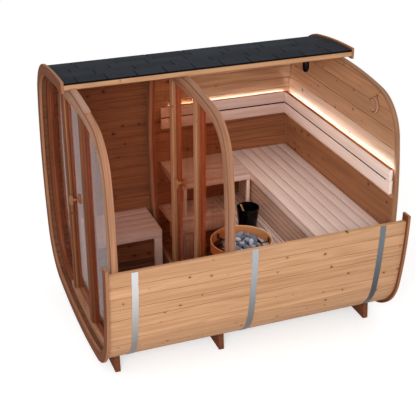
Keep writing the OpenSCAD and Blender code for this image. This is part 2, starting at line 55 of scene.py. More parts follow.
HALF_W, HALF_H = 1.066, 1.05
SIDE_R, TOP_R, CORNER_R = 3.5, 4.0, 0.44
LENGTH = 2.46
FRONT_X = -LENGTH / 2
MID_Z = 1.1
RING_T, RING_DEPTH = 0.022, 0.09
SHELL_0, SHELL_1 = RING_T, LENGTH - RING_T
OUT, IN = 0.028, 0.07  # staves: outer and inner set-in
FRAME_IN = 0.145  # inner set-in of the glazed frames
RIM_IN = 0.095  # inner set-in of the rear wall's rim
NEAR_CUT = 0.055  # the near wall is cut this far below the middle


def make_arcs():
    """The outline as arcs, from the far side's middle upwards.

    Each arc is (centre y, centre z, radius, first angle, last angle).
    """
    side, roof = Vector((HALF_W - SIDE_R, 0)), Vector((0, HALF_H - TOP_R))
    apart = roof - side
    dist = apart.length
    ahead = apart / dist
    r1, r2 = SIDE_R - CORNER_R, TOP_R - CORNER_R
    a = (r1 * r1 - r2 * r2 + dist * dist) / (2 * dist)
    h = math.sqrt(r1 * r1 - a * a)
    c = side + ahead * a + h * Vector((-ahead[1], ahead[0]))
    # Angles at which the corner meets the side and the roof.
    sa = math.atan2(c[1], c[0] - side[0])
    ra = math.atan2(c[1] - roof[1], c[0])
    pi, two = math.pi, 2 * math.pi
    return [
        (side[0], 0, SIDE_R, 0, sa), (c[0], c[1], CORNER_R, sa, ra),
        (0, roof[1], TOP_R, ra, pi - ra), (-c[0], c[1], CORNER_R, pi - ra, pi - sa),
        (-side[0], 0, SIDE_R, pi - sa, pi + sa), (-c[0], -c[1], CORNER_R, pi + sa, pi + ra),
        (0, -roof[1], TOP_R, pi + ra, two - ra), (c[0], -c[1], CORNER_R, two - ra, two - sa),
        (side[0], 0, SIDE_R, two - sa, two),
    ]


ARCS = make_arcs()
STARTS = [0.0]
for arc in ARCS:
    STARTS.append(STARTS[-1] + (arc[2] - OUT) * (arc[4] - arc[3]))
ROUND = STARTS[-1]  # length once round, on the staves' outside
S_TOP, S_NEAR = ROUND / 4, ROUND / 2


def at(s, o):
    """(y, z) at length s round the outline and set-in o."""
    s = s % ROUND
    k = max(i for i in range(len(ARCS)) if STARTS[i] <= s + 1e-12)
    cy, cz, r, a0, _ = ARCS[k]
    a = a0 + (s - STARTS[k]) / (r - OUT)
    return cy + (r - o) * math.cos(a), cz + (r - o) * math.sin(a)


def round_of(y, z):
    """Length round the outline and set-in of many points, as two arrays."""
    best = np.full(len(y), 1e9)
    s, o = np.zeros(len(y)), np.zeros(len(y))
    for k, (cy, cz, r, a0, a1) in enumerate(ARCS):
        a = np.mod(np.arctan2(z - cz, y - cy), 2 * math.pi)
        out = np.maximum(np.maximum(a0 - a, a - a1), 0)
        out = np.minimum(out, 2 * math.pi - out)
        miss = np.abs(np.hypot(y - cy, z - cz) - r) + out * 5
        use = miss < best
        best[use] = miss[use]
        s[use] = STARTS[k] + (r - OUT) * (a[use] - a0)
        o[use] = r - np.hypot(y - cy, z - cz)[use]
    return s, o


def side_y(z, o):
    """Half width at height z and set-in o."""
    cy, cz, r = ARCS[1][:3]
    if abs(z) > cz:
        return cy + math.sqrt(max((r - o) ** 2 - (abs(z) - cz) ** 2, 0))
    return HALF_W - SIDE_R + math.sqrt((SIDE_R - o) ** 2 - z * z)


def floor_z(y, o=IN):
    """Height of the floor, from the middle of the profile, at place y."""
    cy, cz, r = ARCS[1][:3]
    if abs(y) > cy:
        return -(cz + math.sqrt(max((r - o) ** 2 - (abs(y) - cy) ** 2, 0)))
    return -(HALF_H - TOP_R + math.sqrt((TOP_R - o) ** 2 - y * y))


# ---- solids ----

def spot(x, y, z):
    """A place of this file in the frame's axes."""
    return FRONT_X + x, y, MID_Z + z


def tube_faces(n, rings, closed=False):
    """Faces between rings of n points each, with end caps where it isn't closed."""
    faces = []
    for k in range(rings if closed else rings - 1):
        a, b = k * n, (k + 1) % rings * n
        faces += [[a + i, a + (i + 1) % n, b + (i + 1) % n, b + i] for i in range(n)]
    if not closed:
        faces += [list(range(n))[::-1], list(range((rings - 1) * n, rings * n))]
    return faces


def prism(section, lo, hi, axis="x"):
    """A straight bar along x or z, with its section as (y, z) or (x, y)."""
    verts = [spot(e, a, b) if axis == "x" else spot(a, b, e)
             for e in (lo, hi) for a, b in section]
    return verts, tube_faces(len(section), 2)


def bar(section, stops):
    """A straight bar along x with rings of points at its stops."""
    return [spot(x, y, z) for x in stops for y, z in section], tube_faces(len(section), len(stops))


def stations(s0, s1, step=0.03):
    """Evenly spread lengths from s0 to s1, no further apart than step."""
    n = max(2, math.ceil((s1 - s0) / step))
    return [s0 + (s1 - s0) * i / n for i in range(n + 1)]


def sweep(section, along, closed=False):
    """A bar that follows the profile: its section as (set-in, x)."""
    along = along[:-1] if closed else along
    verts = [spot(x, *at(s, o)) for s in along for o, x in section]
    return verts, tube_faces(len(section), len(along), closed)


CORE = 0.001  # turned pieces close on a thin core about their axis


def lathe(profile, x, y, z, turns=72, axis="z"):
    """A turned piece about a line through (x, y, z), with a closed profile of (radius, height)."""
    verts = []
    for k in range(turns):
        a = 2 * math.pi * k / turns
        for r, h in profile:
            p, q = r * math.cos(a), r * math.sin(a)
            verts.append(spot(x + p, y + q, z + h) if axis == "z" else spot(x + h, y + p, z + q))
    return verts, tube_faces(len(profile), turns, True)


def clip(poly, value, above):
    """The part of a (y, z) outline above or below a height."""
    keep = []
    for i, p in enumerate(poly):
        q = poly[(i + 1) % len(poly)]
        p_in, q_in = (p[1] > value) == above, (q[1] > value) == above
        if p_in:
            keep.append(p)
        if p_in != q_in:
            t = (value - p[1]) / (q[1] - p[1])
            keep.append((p[0] + t * (q[0] - p[0]), value))
    return keep


def rim(o0, o1, x0, x1, c=0.003):
    """Section of a hoop with eased edges, as (set-in, x)."""
    return [(o0 + c, x0), (o1 - c, x0), (o1, x0 + c), (o1, x1 - c),
            (o1 - c, x1), (o0 + c, x1), (o0, x1 - c), (o0, x0 + c)]


# Grain rules: from points in the row frame to (along, across, through) the grain.

def straight(axis):
    """Along x, y or z. A wall faces along x, and its boards lie level."""
    order = {"x": (0, 1, 2), "y": (1, 0, 2), "z": (2, 1, 0), "wall": (1, 2, 0)}[axis]
    return lambda co: co[:, order]


UPRIGHT = straight("z")


def post_grain(co):
    """Posts: up, then round the two sides."""
    return np.stack([co[:, 2], co[:, 0] + co[:, 1], co[:, 0] - co[:, 1]], 1)


def wall_grain(co):
    s, o = round_of(co[:, 1], co[:, 2] - MID_Z)
    return np.stack([co[:, 0], s, o], 1)


def hoop_grain(co):
    s, o = round_of(co[:, 1], co[:, 2] - MID_Z)
    return np.stack([s, o, co[:, 0]], 1)


def turned_grain(x, y, r):
    def rule(co):
        a = np.arctan2(co[:, 1] - y, co[:, 0] - FRONT_X - x)
        return np.stack([a * r, co[:, 2], np.hypot(co[:, 0] - FRONT_X - x, co[:, 1] - y)], 1)
    return rule


def ease_edges(bm, edges, offset, segments):
    bmesh.ops.bevel(bm, geom=edges, offset=offset, offset_type="OFFSET", segments=segments,
                    profile=0.5, affect="EDGES", clamp_overlap=True)


class Piece:
    """Gathers solids into one object. Each solid has its own grain, place in the wood and tone."""

    def __init__(self, name):
        self.name = name
        self.bm = bmesh.new()
        self.tag = self.bm.faces.layers.int.new("board")
        self.boards = []
        self.rng = random.Random(name)

    def board(self, rule):
        """Draws a solid's place in the wood and its tone, and gives its number."""
        r = self.rng
        shift = (r.uniform(0, 9), r.uniform(0, 9), r.uniform(0, 9))
        self.boards.append((rule, shift, r.random()))
        return len(self.boards) - 1

    def add(self, solid, rule=UPRIGHT, material=0):
        """Adds (points, faces). The material is a number, or a rule that takes a face's centre."""
        number = self.board(rule)
        verts = [self.bm.verts.new(v) for v in solid[0]]
        for f in solid[1]:
            face = self.bm.faces.new([verts[i] for i in f])
            face[self.tag] = number
            if callable(material):
                face.material_index = material(face.calc_center_median())
            else:
                face.material_index = material

    def plank(self, grain, x0, x1, y0, y1, z0, z1, material=0):
        """Adds a straight piece of timber."""
        self.add(prism([(y0, z0), (y1, z0), (y1, z1), (y0, z1)], x0, x1), straight(grain), material)

    def add_node(self, node, rule=UPRIGHT):
        """The solids of a CAD node, welded and with flat faces joined."""
        number = self.board(rule)
        other = bmesh.new()
        other.from_mesh(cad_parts[node].data)
        bmesh.ops.remove_doubles(other, verts=other.verts, dist=1e-5)
        bmesh.ops.dissolve_limit(other, angle_limit=math.radians(1), verts=other.verts,
                                 edges=other.edges)
        verts = [self.bm.verts.new(v.co) for v in other.verts]
        other.verts.index_update()
        for f in other.faces:
            face = self.bm.faces.new([verts[v.index] for v in f.verts])
            face[self.tag] = number
        other.free()
        return self

    def finish(self, slot, materials, body="building", replaces=(), bevel=0.0, segments=2,
               angle=30):
        """Bevels edges sharper than angle, stores grain and tone, and makes the object."""
        bm = self.bm
        bmesh.ops.recalc_face_normals(bm, faces=bm.faces)
        if bevel:
            edges = [e for e in bm.edges
                     if e.is_manifold and e.calc_face_angle(0) > math.radians(angle)]
            ease_edges(bm, edges, bevel, segments)
        bm.verts.index_update()
        numbers = np.array([v.link_faces[0][self.tag] if v.link_faces else 0 for v in bm.verts])
        me = bpy.data.meshes.new(self.name)
        bm.to_mesh(me)
        bm.free()
        co = np.zeros(len(me.vertices) * 3)
        me.vertices.foreach_get("co", co)
        co = co.reshape(-1, 3)
        grain, tone = np.zeros((len(co), 3), np.float32), np.zeros(len(co), np.float32)
        for k, (rule, shift, t) in enumerate(self.boards):
            use = numbers == k
            if use.any():
                grain[use] = rule(co[use]) + np.array(shift)
                tone[use] = t
        points = me.attributes
        points.new("grain", "FLOAT_VECTOR", "POINT").data.foreach_set("vector", grain.ravel())
        points.new("tone", "FLOAT", "POINT").data.foreach_set("value", tone)
        me.shade_smooth()
        me.set_sharp_from_angle(angle=math.radians(25))
        for m in materials if isinstance(materials, list) else [materials]:
            me.materials.append(m)
        obj = bpy.data.objects.new(self.name, me)
        bpy.context.scene.collection.objects.link(obj)
        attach(obj, body)
        if replaces:
            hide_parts(*replaces)


# ---- materials ----

WHITE = [1.0, 1.0, 1.0, 1.0]


def linear(hex_colour):
    """A colour written as #rrggbb, as the linear values that the sockets take."""
    rgb = [int(hex_colour[i:i + 2], 16) / 255 for i in (1, 3, 5)]
    return [c / 12.92 if c <= 0.04045 else ((c + 0.055) / 1.055) ** 2.4 for c in rgb] + [1.0]


class Nodes:
    """Short ways to make and join the shader nodes of a material or a world."""

    def __init__(self, owner, out="OutputMaterial"):
        owner.use_nodes = True
        self.owner = owner
        self.tree = owner.node_tree
        self.tree.nodes.clear()
        self.out = self.node(out)

    def node(self, kind, inputs=None, **props):
        n = self.tree.nodes.new("ShaderNode" + kind)
        for k, v in props.items():
            setattr(n, k, v)
        for k, v in (inputs or {}).items():
            if isinstance(v, bpy.types.NodeSocket):
                self.tree.links.new(v, n.inputs[k])
            else:
                n.inputs[k].default_value = v
        return n

    def maths(self, op, a, b=0.0, c=0.0):
        return self.node("Math", {0: a, 1: b, 2: c}, operation=op).outputs[0]

    def times(self, a, b):
        return self.maths("MULTIPLY", a, b)

    def fit(self, a, by, plus):
        return self.maths("MULTIPLY_ADD", a, by, plus)

    def scaled(self, vector, by):
        return self.node("VectorMath", {0: vector, 1: by}, operation="MULTIPLY").outputs[0]

    def noise(self, vector, scale=1.0, detail=2.0, rough=0.5, distort=0.0):
        return self.node("TexNoise", {"Vector": vector, "Scale": scale, "Detail": detail,
                                      "Roughness": rough, "Distortion": distort}).outputs["Fac"]

    def mix(self, fac, a, b):
        """Colour a where fac is 0, b where it is 1. A Mix node's colours have their own numbers."""
        return self.node("Mix", {0: fac, 6: a, 7: b}, data_type="RGBA").outputs[2]

    def ramp(self, fac, lo, hi, to_lo=0.0, to_hi=1.0):
        return self.node("MapRange", {
            "Value": fac, "From Min": lo, "From Max": hi, "To Min": to_lo, "To Max": to_hi,
        }, interpolation_type="SMOOTHSTEP").outputs[0]

    def attribute(self, name, output):
        return self.node("Attribute", attribute_name=name).outputs[output]

    def place(self):
        return self.node("TexCoord").outputs["Object"]

    def shade(self, value, colour):
        return self.node("HueSaturation", {"Value": value, "Color": colour}).outputs[0]

    def surface(self, colour, rough, height, bump, depth=0.001, metallic=0.0, spec=0.5):
        """An opaque finish with bumps that follow a height."""
        normal = self.node("Bump", {"Strength": bump, "Distance": depth, "Height": height})
        return self.finish(self.node("BsdfPrincipled", {
            "Base Color": colour, "Roughness": rough, "Normal": normal.outputs[0],
            "Metallic": metallic, "Specular IOR Level": spec}))

    def finish(self, shader):
        self.tree.links.new(shader.outputs[0], self.out.inputs["Surface"])
        return self.owner


def new_material(name):
    return Nodes(bpy.data.materials.new(name))


# The wood's noises: how often they change along, across and through the grain.
FIBRE, STREAK, FIGURE = (2.5, 160.0, 160.0), (0.55, 32.0, 32.0), (0.5, 7.0, 7.0)
KNOT_CELLS = (6.5, 8.0, 1.0)


def wood(name, light, dark, knots=0.25, knot_size=0.05, knot_colour="#4a2a26", contrast=1.0,
         rough=0.55, tones=0.12, spec=0.3):
    """Boards with fibre, long streaks and faint growth figure. Knots fill a share of the cells."""
    n = new_material(name)
    grain = n.attribute("grain", "Vector")
    fibre = n.noise(n.scaled(grain, FIBRE), detail=4.0, rough=0.65)
    streak = n.noise(n.scaled(grain, STREAK), detail=3.0, rough=0.6)
    figure = n.noise(n.scaled(grain, FIGURE), detail=2.0, rough=0.45, distort=0.3)
    rings = n.fit(n.maths("SINE", n.times(figure, 55.0)), 0.5, 0.5)
    f = n.fit(fibre, 0.45, n.times(streak, 0.45))
    f = n.fit(rings, 0.09 * contrast, f)
    f = n.maths("SUBTRACT", f, 0.045 * contrast - 0.05)
    spread = 0.22 / contrast
    colour = n.mix(n.ramp(f, 0.5 - spread, 0.5 + spread), linear(dark), linear(light))
    wobble = n.node("TexNoise", {"Vector": grain, "Scale": 40.0}).outputs["Color"]
    bent = n.node("VectorMath", {0: grain, 1: n.scaled(wobble, (0.012, 0.012, 0.012))},
                  operation="ADD").outputs[0]
    cell = n.node("TexVoronoi", {"Vector": n.scaled(bent, KNOT_CELLS), "Scale": 1.0,
                                 "Randomness": 0.95}, voronoi_dimensions="2D")
    lot = n.node("SeparateColor", {0: cell.outputs["Color"]}).outputs
    chosen = n.maths("LESS_THAN", lot[0], knots)
    size = n.fit(lot[1], knot_size, knot_size * 0.6)
    near = n.maths("DIVIDE", cell.outputs["Distance"], size)
    halo = n.times(n.ramp(near, 3.2, 1.0), n.times(chosen, 0.45))
    core = n.times(n.ramp(near, 1.15, 0.7), n.times(chosen, 0.9))
    colour = n.mix(halo, colour, linear(dark))
    colour = n.mix(core, colour, linear(knot_colour))
    colour = n.shade(n.fit(n.attribute("tone", "Fac"), tones, 1.0 - tones / 2),
                     colour)
    return n.surface(colour, n.fit(fibre, 0.2, rough - 0.1), f, 0.2, spec=spec)


def plain(name, colour, rough, metallic=0.0, speckle=0.1, scale=60.0, bump=0.1, spec=0.5):
    """A finish with mottled colour and roughness."""
    n = new_material(name)
    mottle = n.noise(n.place(), scale=scale, detail=4.0, rough=0.6)
    tinted = n.shade(n.fit(mottle, 2 * speckle, 1.0 - speckle), linear(colour))
    return n.surface(tinted, n.fit(mottle, 0.2, rough - 0.1), mottle, bump,
                     metallic=metallic, spec=spec)


def steel_painted_reflection(name, high, low):
    """Galvanised strap with painted reflection: lighter high up and darker towards the ground."""
    n = new_material(name)
    place = n.place()
    height = n.node("SeparateXYZ", {0: place}).outputs[2]
    mottle = n.noise(n.scaled(place, (1, 1, 6)), scale=90.0, detail=4.0, rough=0.6)
    colour = n.mix(n.ramp(height, 0.3, 1.0), linear(low), linear(high))
    colour = n.shade(n.fit(mottle, 0.1, 0.95), colour)
    return n.surface(colour, n.fit(mottle, 0.2, 0.2), mottle, 0.1, metallic=1.0)


def shingle_finish(name, light, dark):
    """Mineral granules with a tone of its own for each tab."""
    n = new_material(name)
    place = n.place()
    grit = n.noise(place, scale=420.0, detail=2.0, rough=0.7)
    cloud = n.noise(place, scale=7.0, detail=2.0)
    f = n.maths("ADD", n.times(grit, 0.5), n.times(cloud, 0.35))
    f = n.fit(n.attribute("tone", "Fac"), 0.3, f)
    colour = n.mix(n.ramp(f, 0.25, 0.95), linear(dark), linear(light))
    return n.surface(colour, n.fit(grit, 0.1, 0.85), grit, 0.5, depth=0.0015,
                     spec=0.2)


def stone_finish(name, light, dark):
    """Rough stone with a tone of its own for each stone."""
    n = new_material(name)
    grit = n.noise(n.place(), scale=160.0, detail=5.0, rough=0.7)
    f = n.fit(n.attribute("tone", "Fac"), 0.45, n.times(grit, 0.7))
    colour = n.mix(n.ramp(f, 0.25, 0.9), linear(dark), linear(light))
    return n.surface(colour, n.fit(grit, 0.15, 0.75), grit, 0.6, depth=0.003,
                     spec=0.3)


def glass(name, tint, other, sheen, ior=1.3):
    """Clear tinted glass with upright streaks. It lets lamps through."""
    n = new_material(name)
    smear = n.noise(n.scaled(n.place(), (1.0, 9.0, 0.5)), scale=3.0, detail=3.0)
    colour = n.mix(n.ramp(smear, 0.35, 0.65), linear(tint), linear(other))
    solid = n.node("BsdfPrincipled", {"Base Color": colour, "Roughness": 0.02, "IOR": ior,
                                      "Specular Tint": linear(sheen), "Transmission Weight": 1.0})
    clear = n.node("BsdfTransparent", {"Color": colour})
    lamp = n.node("LightPath").outputs["Is Shadow Ray"]
    return n.finish(n.node("MixShader", {0: lamp, 1: solid.outputs[0], 2: clear.outputs[0]}))


def glow(name, colour, strength):
    """A lit face with slightly paler spots."""
    n = new_material(name)
    diodes = n.noise(n.place(), scale=60.0, detail=0.0)
    tinted = n.mix(n.ramp(diodes, 0.2, 0.8, 0.0, 0.15), linear(colour), WHITE)
    return n.finish(n.node("BsdfPrincipled", {
        "Base Color": tinted, "Roughness": 0.4, "Emission Color": tinted,
        "Emission Strength": strength}))


CLEAR = {"knots": 0.0}
PALE = {"knots": 0.0, "contrast": 0.8}
SOFT = {"knots": 0.0, "contrast": 0.7}
SEAT = {"knots": 0.0, "contrast": 0.8, "tones": 0.08}
REAR = {"knots": 0.28, "knot_size": 0.07}
OILED = {"rough": 0.45, "spec": 0.5}
DULL = {"rough": 0.65, "spec": 0.08}
POST = {"knot_size": 0.04}
POST_BACK = {"knots": 0.12, "knot_size": 0.04}

# Shell.
M_WALL = wood("wall_boards", "#dbab83", "#b9865d", knots=0.3, knot_size=0.042)
# The hot room's boards: paler above TONE_Z as painted light, and a darker copy below it as painted
# shade.
M_INNER = wood("hot_room_boards", "#ab7c56", "#885c3d", knots=0.22, knot_size=0.07, contrast=1.2,
               **OILED)
M_HOT_LOW_SHADE = wood("hot_room_low_shaded_boards", "#9a6441", "#754226", knot_size=0.07, knot_colour="#260f08")
# The changing room's boards are a darker copy: painted shade.
M_CHANGING_SHADE = wood("changing_room_shaded_boards", "#88512f", "#66371e", knots=0.33, knot_size=0.075,
             knot_colour="#1c0a05")
# The boards in front of the front arch are a darker copy: painted shade in the recess.
M_LIP_SHADE = wood("lip_shaded_boards", "#8a5638", "#683c26", knots=0.1)
# The floor boards are dark brown to stand in for the shade on the floor inside: painted shade.
M_FLOOR_SHADE = wood("floor_boards", "#613b28", "#47281a", knots=0.1, knot_size=0.06)
# The rear boards low down are a darker copy: painted shade.
M_REAR_LOW_SHADE = wood("rear_low_shaded_boards", "#a46e48", "#825132", knot_colour="#2c130b", **REAR)
M_REAR = wood("rear_boards", "#c6936c", "#a3724f", tones=0.22, **REAR, **OILED)
# The board above the end backrest is a paler copy: painted light of the strip's glow.
M_REAR_GLOW = wood("rear_painted_glow_boards", "#d0a98a", "#b28a6c", **REAR, **OILED)
M_VENT = wood("vent_wood", "#c29270", "#a37656", **CLEAR)
M_RIM = wood("rim_wood", "#a87a5a", "#8a5e42", **CLEAR)
M_RING = wood("ring_wood", "#b88262", "#956245", knots=0.04, rough=0.65, spec=0.1)
# A darker copy of the ring wood for the fascias' flat end faces: painted shade.
M_RING_FACE_SHADE = wood("ring_face_shade", "#88533a", "#6c3e27", knots=0.04, **DULL)
M_CRADLE = wood("cradle_wood", "#8d563a", "#653a25", **PALE, **DULL)
M_SHINGLE = shingle_finish("shingle_grit", "#2a2f38", "#11151c")
M_FELT = plain("roof_felt", "#060709", 0.9, speckle=0.3, scale=200.0, spec=0.1)
# Dark strips in joints, gaps and grooves, where there is only shade: painted shade.
M_JOINT_SHADE = plain("joint_shadow", "#2a150c", 0.9, speckle=0.2, scale=200.0, spec=0.1)
# The straps' steels differ only in painted reflection: brightest at the front, darker to the rear.
M_PAINTED_STEEL = [steel_painted_reflection("band_steel_%d" % k, high, low) for k, (high, low) in enumerate((
    ("#fafcff", "#a8a8a9"), ("#cfd6dc", "#909397"), ("#8c959c", "#5c6267")))]

# Glazed walls.
M_FRAME = wood("frame_wood", "#b98769", "#936347", knots=0.06, spec=0.15)
# The arches' far parts take darker copies of the frame wood: painted shade.
M_FRONT_ARCH_SHADE = wood("arch_dark_wood", "#7f482e", "#61331c", knots=0.06, spec=0.1)
M_ARCH_FAR_SHADE = wood("arch_far_wood", "#96654a", "#74482f", knots=0.06, spec=0.15)
M_PACKING = wood("packing_wood", "#c0937f", "#a27763", **CLEAR)
M_POST = wood("post_wood", "#c08c66", "#9a6642", **POST)
M_POST_MID = wood("post_middle", "#a87650", "#865434", knots=0.2, **POST)
M_POST_IN = wood("post_inside", "#94512e", "#70381d", **POST_BACK)
M_POST_SIDE = wood("post_side", "#a85c35", "#804021", **POST_BACK)
M_FRONT_POST = wood("front_post_wood", "#8b5539", "#6a3a23", knots=0.2, **POST, **DULL)
M_BEAD = wood("bead_wood", "#8a6048", "#6e4833", **CLEAR)
# Brown seal, dark also to stand in for the shade in the posts' grooves: partly real, partly painted
# shade.
M_SEAL = plain("brown_seal", "#5c3a29", 0.6, speckle=0.2, scale=200.0, spec=0.2)
M_HINGE = plain("hinge_steel", "#b4b6b8", 0.32, metallic=1.0, speckle=0.05)
M_HANDLE = wood("handle_wood", "#a8744e", "#7e4f30", **CLEAR)
M_FRONT = glass("front_pane", "#f0d8d0", "#dccdd2", "#e8a898", ior=1.13)
M_BRONZE = glass("bronze_pane", "#ecc9b2", "#e4bfa6", "#e8b090")
M_EDGE = plain("pane_edge", "#3b2a24", 0.25, scale=80.0)

# Benches and lights.
M_BENCH = wood("bench_wood", "#ebd4ca", "#d5b8ab", **SEAT)
# The far benches and far backrest, under the roof, take a darker copy of the bench wood: painted
# shade.
M_BENCH_FAR_SHADE = wood("far_bench_shaded_wood", "#d4bbb0", "#be9f93", **SEAT)
# The changing room's bench is a darker copy of the bench wood: painted shade.
M_CHANGE_SHADE = wood("changing_bench_shaded_wood", "#c8aa9d", "#b08d80", **SEAT)
# A paler copy of the bench wood for the fascias, legs and end backrest, which lie in shade: painted
# light.
M_RAIL_PAINTED_LIGHT = wood("rail_painted_light_wood", "#f8e3d8", "#e4c9bc", **PALE)
M_RISER = wood("riser_wood", "#d6b6a4", "#c09b87", knots=0.0, contrast=0.9)
M_CAP = wood("cap_wood", "#a8683f", "#8a4f2c", **CLEAR)
M_LED = glow("led_glow", "#f2f8ff", 56.0)
M_LAMP = plain("lamp_paint", "#020203", 0.3, speckle=0.3, scale=300.0, spec=0.15)
M_LENS = glow("lamp_lens", "#ffe9c4", 6.0)

# Heater, bucket and ladle.
M_BLACK = plain("heater_paint", "#141416", 0.5, speckle=0.3, scale=300.0)
M_STONE = stone_finish("stone", "#c8d1e3", "#687080")
M_HOOP = wood("hoop_wood", "#f2b07c", "#d2915a", **SOFT)
# A paler copy of the hoop wood for its top face: painted highlight.
M_HOOP_HIGHLIGHT = wood("hoop_top_highlight", "#ffe0b4", "#f0c894", **SOFT)
M_BUCKET = plain("bucket_plastic", "#050506", 0.22, speckle=0.2, scale=120.0, bump=0.05, spec=0.2)
M_LADLE = wood("ladle_wood", "#d8b38a", "#bf9468", **SOFT)

# ---- shell ----

JOINT, JOINT_SHADE_INSET = 0.0012, 0.005  # half the gap between staves; how far in from both faces the joint's dark strip of painted shade lies
LIP = 0.056  # the front arch begins
BETWEEN = 0.985  # the rooms meet under the partition's arch
TONE_Z = 0.25  # the hot room's boards are painted paler above this height as light from the strips, and darker below it as painted shade
OUTSIDE, CHANGING, HOT_HIGH, HOT_LOW_SHADE, JOINT_SHADE, AT_LIP = range(6)


def stave(s0, s1, ease=0.0035):
    """Section of one stave from s0 to s1, with eased edges, as (y, z)."""
    a, b = s0 + JOINT, s1 - JOINT
    mid = [a + ease + (b - a - 2 * ease) * k / 3 for k in range(4)]
    outer = [(a, OUT + ease)] + [(m, OUT) for m in mid] + [(b, OUT + ease)]
    inner = [(b, IN - ease)] + [(m, IN) for m in reversed(mid)] + [(a, IN - ease)]
    return [at(s, o) for s, o in outer + inner]


def set_in(centre):
    """How far inside the outline a point lies."""
    return round_of(np.array([centre[1]]), np.array([centre[2] - MID_Z]))[1][0]


def stave_side(centre):
    """Material of a stave's face: the outside, the lip in front of the glass, or a room. The lip,
    the changing room, the floor and the hot room below TONE_Z take darker copies of the wood as
    painted shade; the hot room above it is paler as painted light.
    """
    if set_in(centre) < (OUT + IN) / 2:
        return OUTSIDE
    if centre[0] - FRONT_X < LIP:
        return AT_LIP
    if centre[0] - FRONT_X < BETWEEN:
        return CHANGING
    return HOT_HIGH if centre[2] - MID_Z > TONE_Z else HOT_LOW_SHADE


def stave_wall(name, joints, node, floor=False):
    """Staves between joints, with a dark strip of painted shade in each joint."""
    p = Piece(name)
    for s0, s1 in zip(joints, joints[1:]):
        p.add(bar(stave(s0, s1), (SHELL_0, LIP, BETWEEN, SHELL_1)), wall_grain, stave_side)
    low, high = OUT + JOINT_SHADE_INSET, IN - JOINT_SHADE_INSET
    for s in joints[1:-1]:
        shade_strip = [at(s - JOINT, low), at(s + JOINT, low), at(s + JOINT, high), at(s - JOINT, high)]
        p.add(prism(shade_strip, SHELL_0 + 0.001, SHELL_1 - 0.001), wall_grain, JOINT_SHADE)
    # Floor and room walls take darker copies of the wood as painted shade; the hot room above
    # TONE_Z a paler one as painted light.
    rooms = [M_FLOOR_SHADE] * 3 if floor else [M_CHANGING_SHADE, M_INNER, M_HOT_LOW_SHADE]
    p.finish("stave_wood", [M_WALL] + rooms + [M_JOINT_SHADE, M_LIP_SHADE], replaces=[node])


def even(s0, s1, pitch):
    """Evenly spread cuts from s0 to s1, about a pitch apart."""
    n = max(1, round((s1 - s0) / pitch))
    return [s0 + (s1 - s0) * k / n for k in range(n + 1)]


S_CORNER = STARTS[1]  # the far wall ends and the far top corner begins
S_CUT = S_NEAR + NEAR_CUT  # the near wall's cut edge
BOARD, NARROW, WIDE = 0.0965, 0.085, 0.1
stave_wall("near_boards", [S_CUT] + even(S_NEAR + 0.165, STARTS[6], BOARD), "near_wall_staves")
stave_wall("floor_boards", even(STARTS[6], STARTS[7], BOARD), "floor_staves", True)
stave_wall("far_boards", even(STARTS[7] - ROUND, -S_CORNER, NARROW)
           + [0.03 + WIDE * k for k in range(-5, 6)] + [S_CORNER], "far_wall_staves")
stave_wall("roof_boards", even(S_CORNER, STARTS[2], NARROW) + even(STARTS[2], S_TOP, BOARD)[1:],
           "roof_staves")

FASCIA_IN = 0.0004  # keeps the fascias' facets inside the CAD's outline
for end, x in (("front", 0.0), ("rear", LENGTH - RING_T)):
    p = Piece(end + "_fascia")
    # The fascias' flat end faces take the darker copy: painted shade.
    p.add(sweep(rim(FASCIA_IN, RING_DEPTH, x, x + RING_T, 0.002), stations(-S_NEAR, S_TOP)),
          hoop_grain,
          lambda c: int(abs(abs(c[0] - FRONT_X - x - RING_T / 2) - RING_T / 2) < 0.0005))
    p.finish("ring_wood", [M_RING, M_RING_FACE_SHADE], replaces=[end + "_ring"])

# Shingles: felt, and over it tabs in courses that lap downwards from the roof's cut edge.
TAB_IN, TAB_T, TAB_LOOSE = 0.0155, 0.0045, 0.0006
TAB_W, TAB_W_TOP, TAB_GAP = 0.32, 0.236, 0.01
COURSE, COURSE_TOP, LAP = 0.128, 0.165, 0.03
LAP_IN = 0.0055  # a tab lies this much deeper at its head than at its butt
STAGGER = (0.12, 0.02, 0.19, 0.1)
# Set-ins of the felt: its top, its top in the tabs' gaps and at the roof's cut edge, and the
# underside of these two. In the tabs' gaps the near-black felt is raised close under the tabs:
# painted shade in the slits.
FELT_IN, GAP_IN, EDGE_IN, UNDER_IN = 0.0205, 0.0172, 0.0152, 0.0206
felt = Piece("shingle_felt")


def lay_felt(o0, o1, x0, x1, s0, s1):
    felt.add(sweep([(o0, x0), (o1, x0), (o1, x1), (o0, x1)], stations(s0, s1)), wall_grain)


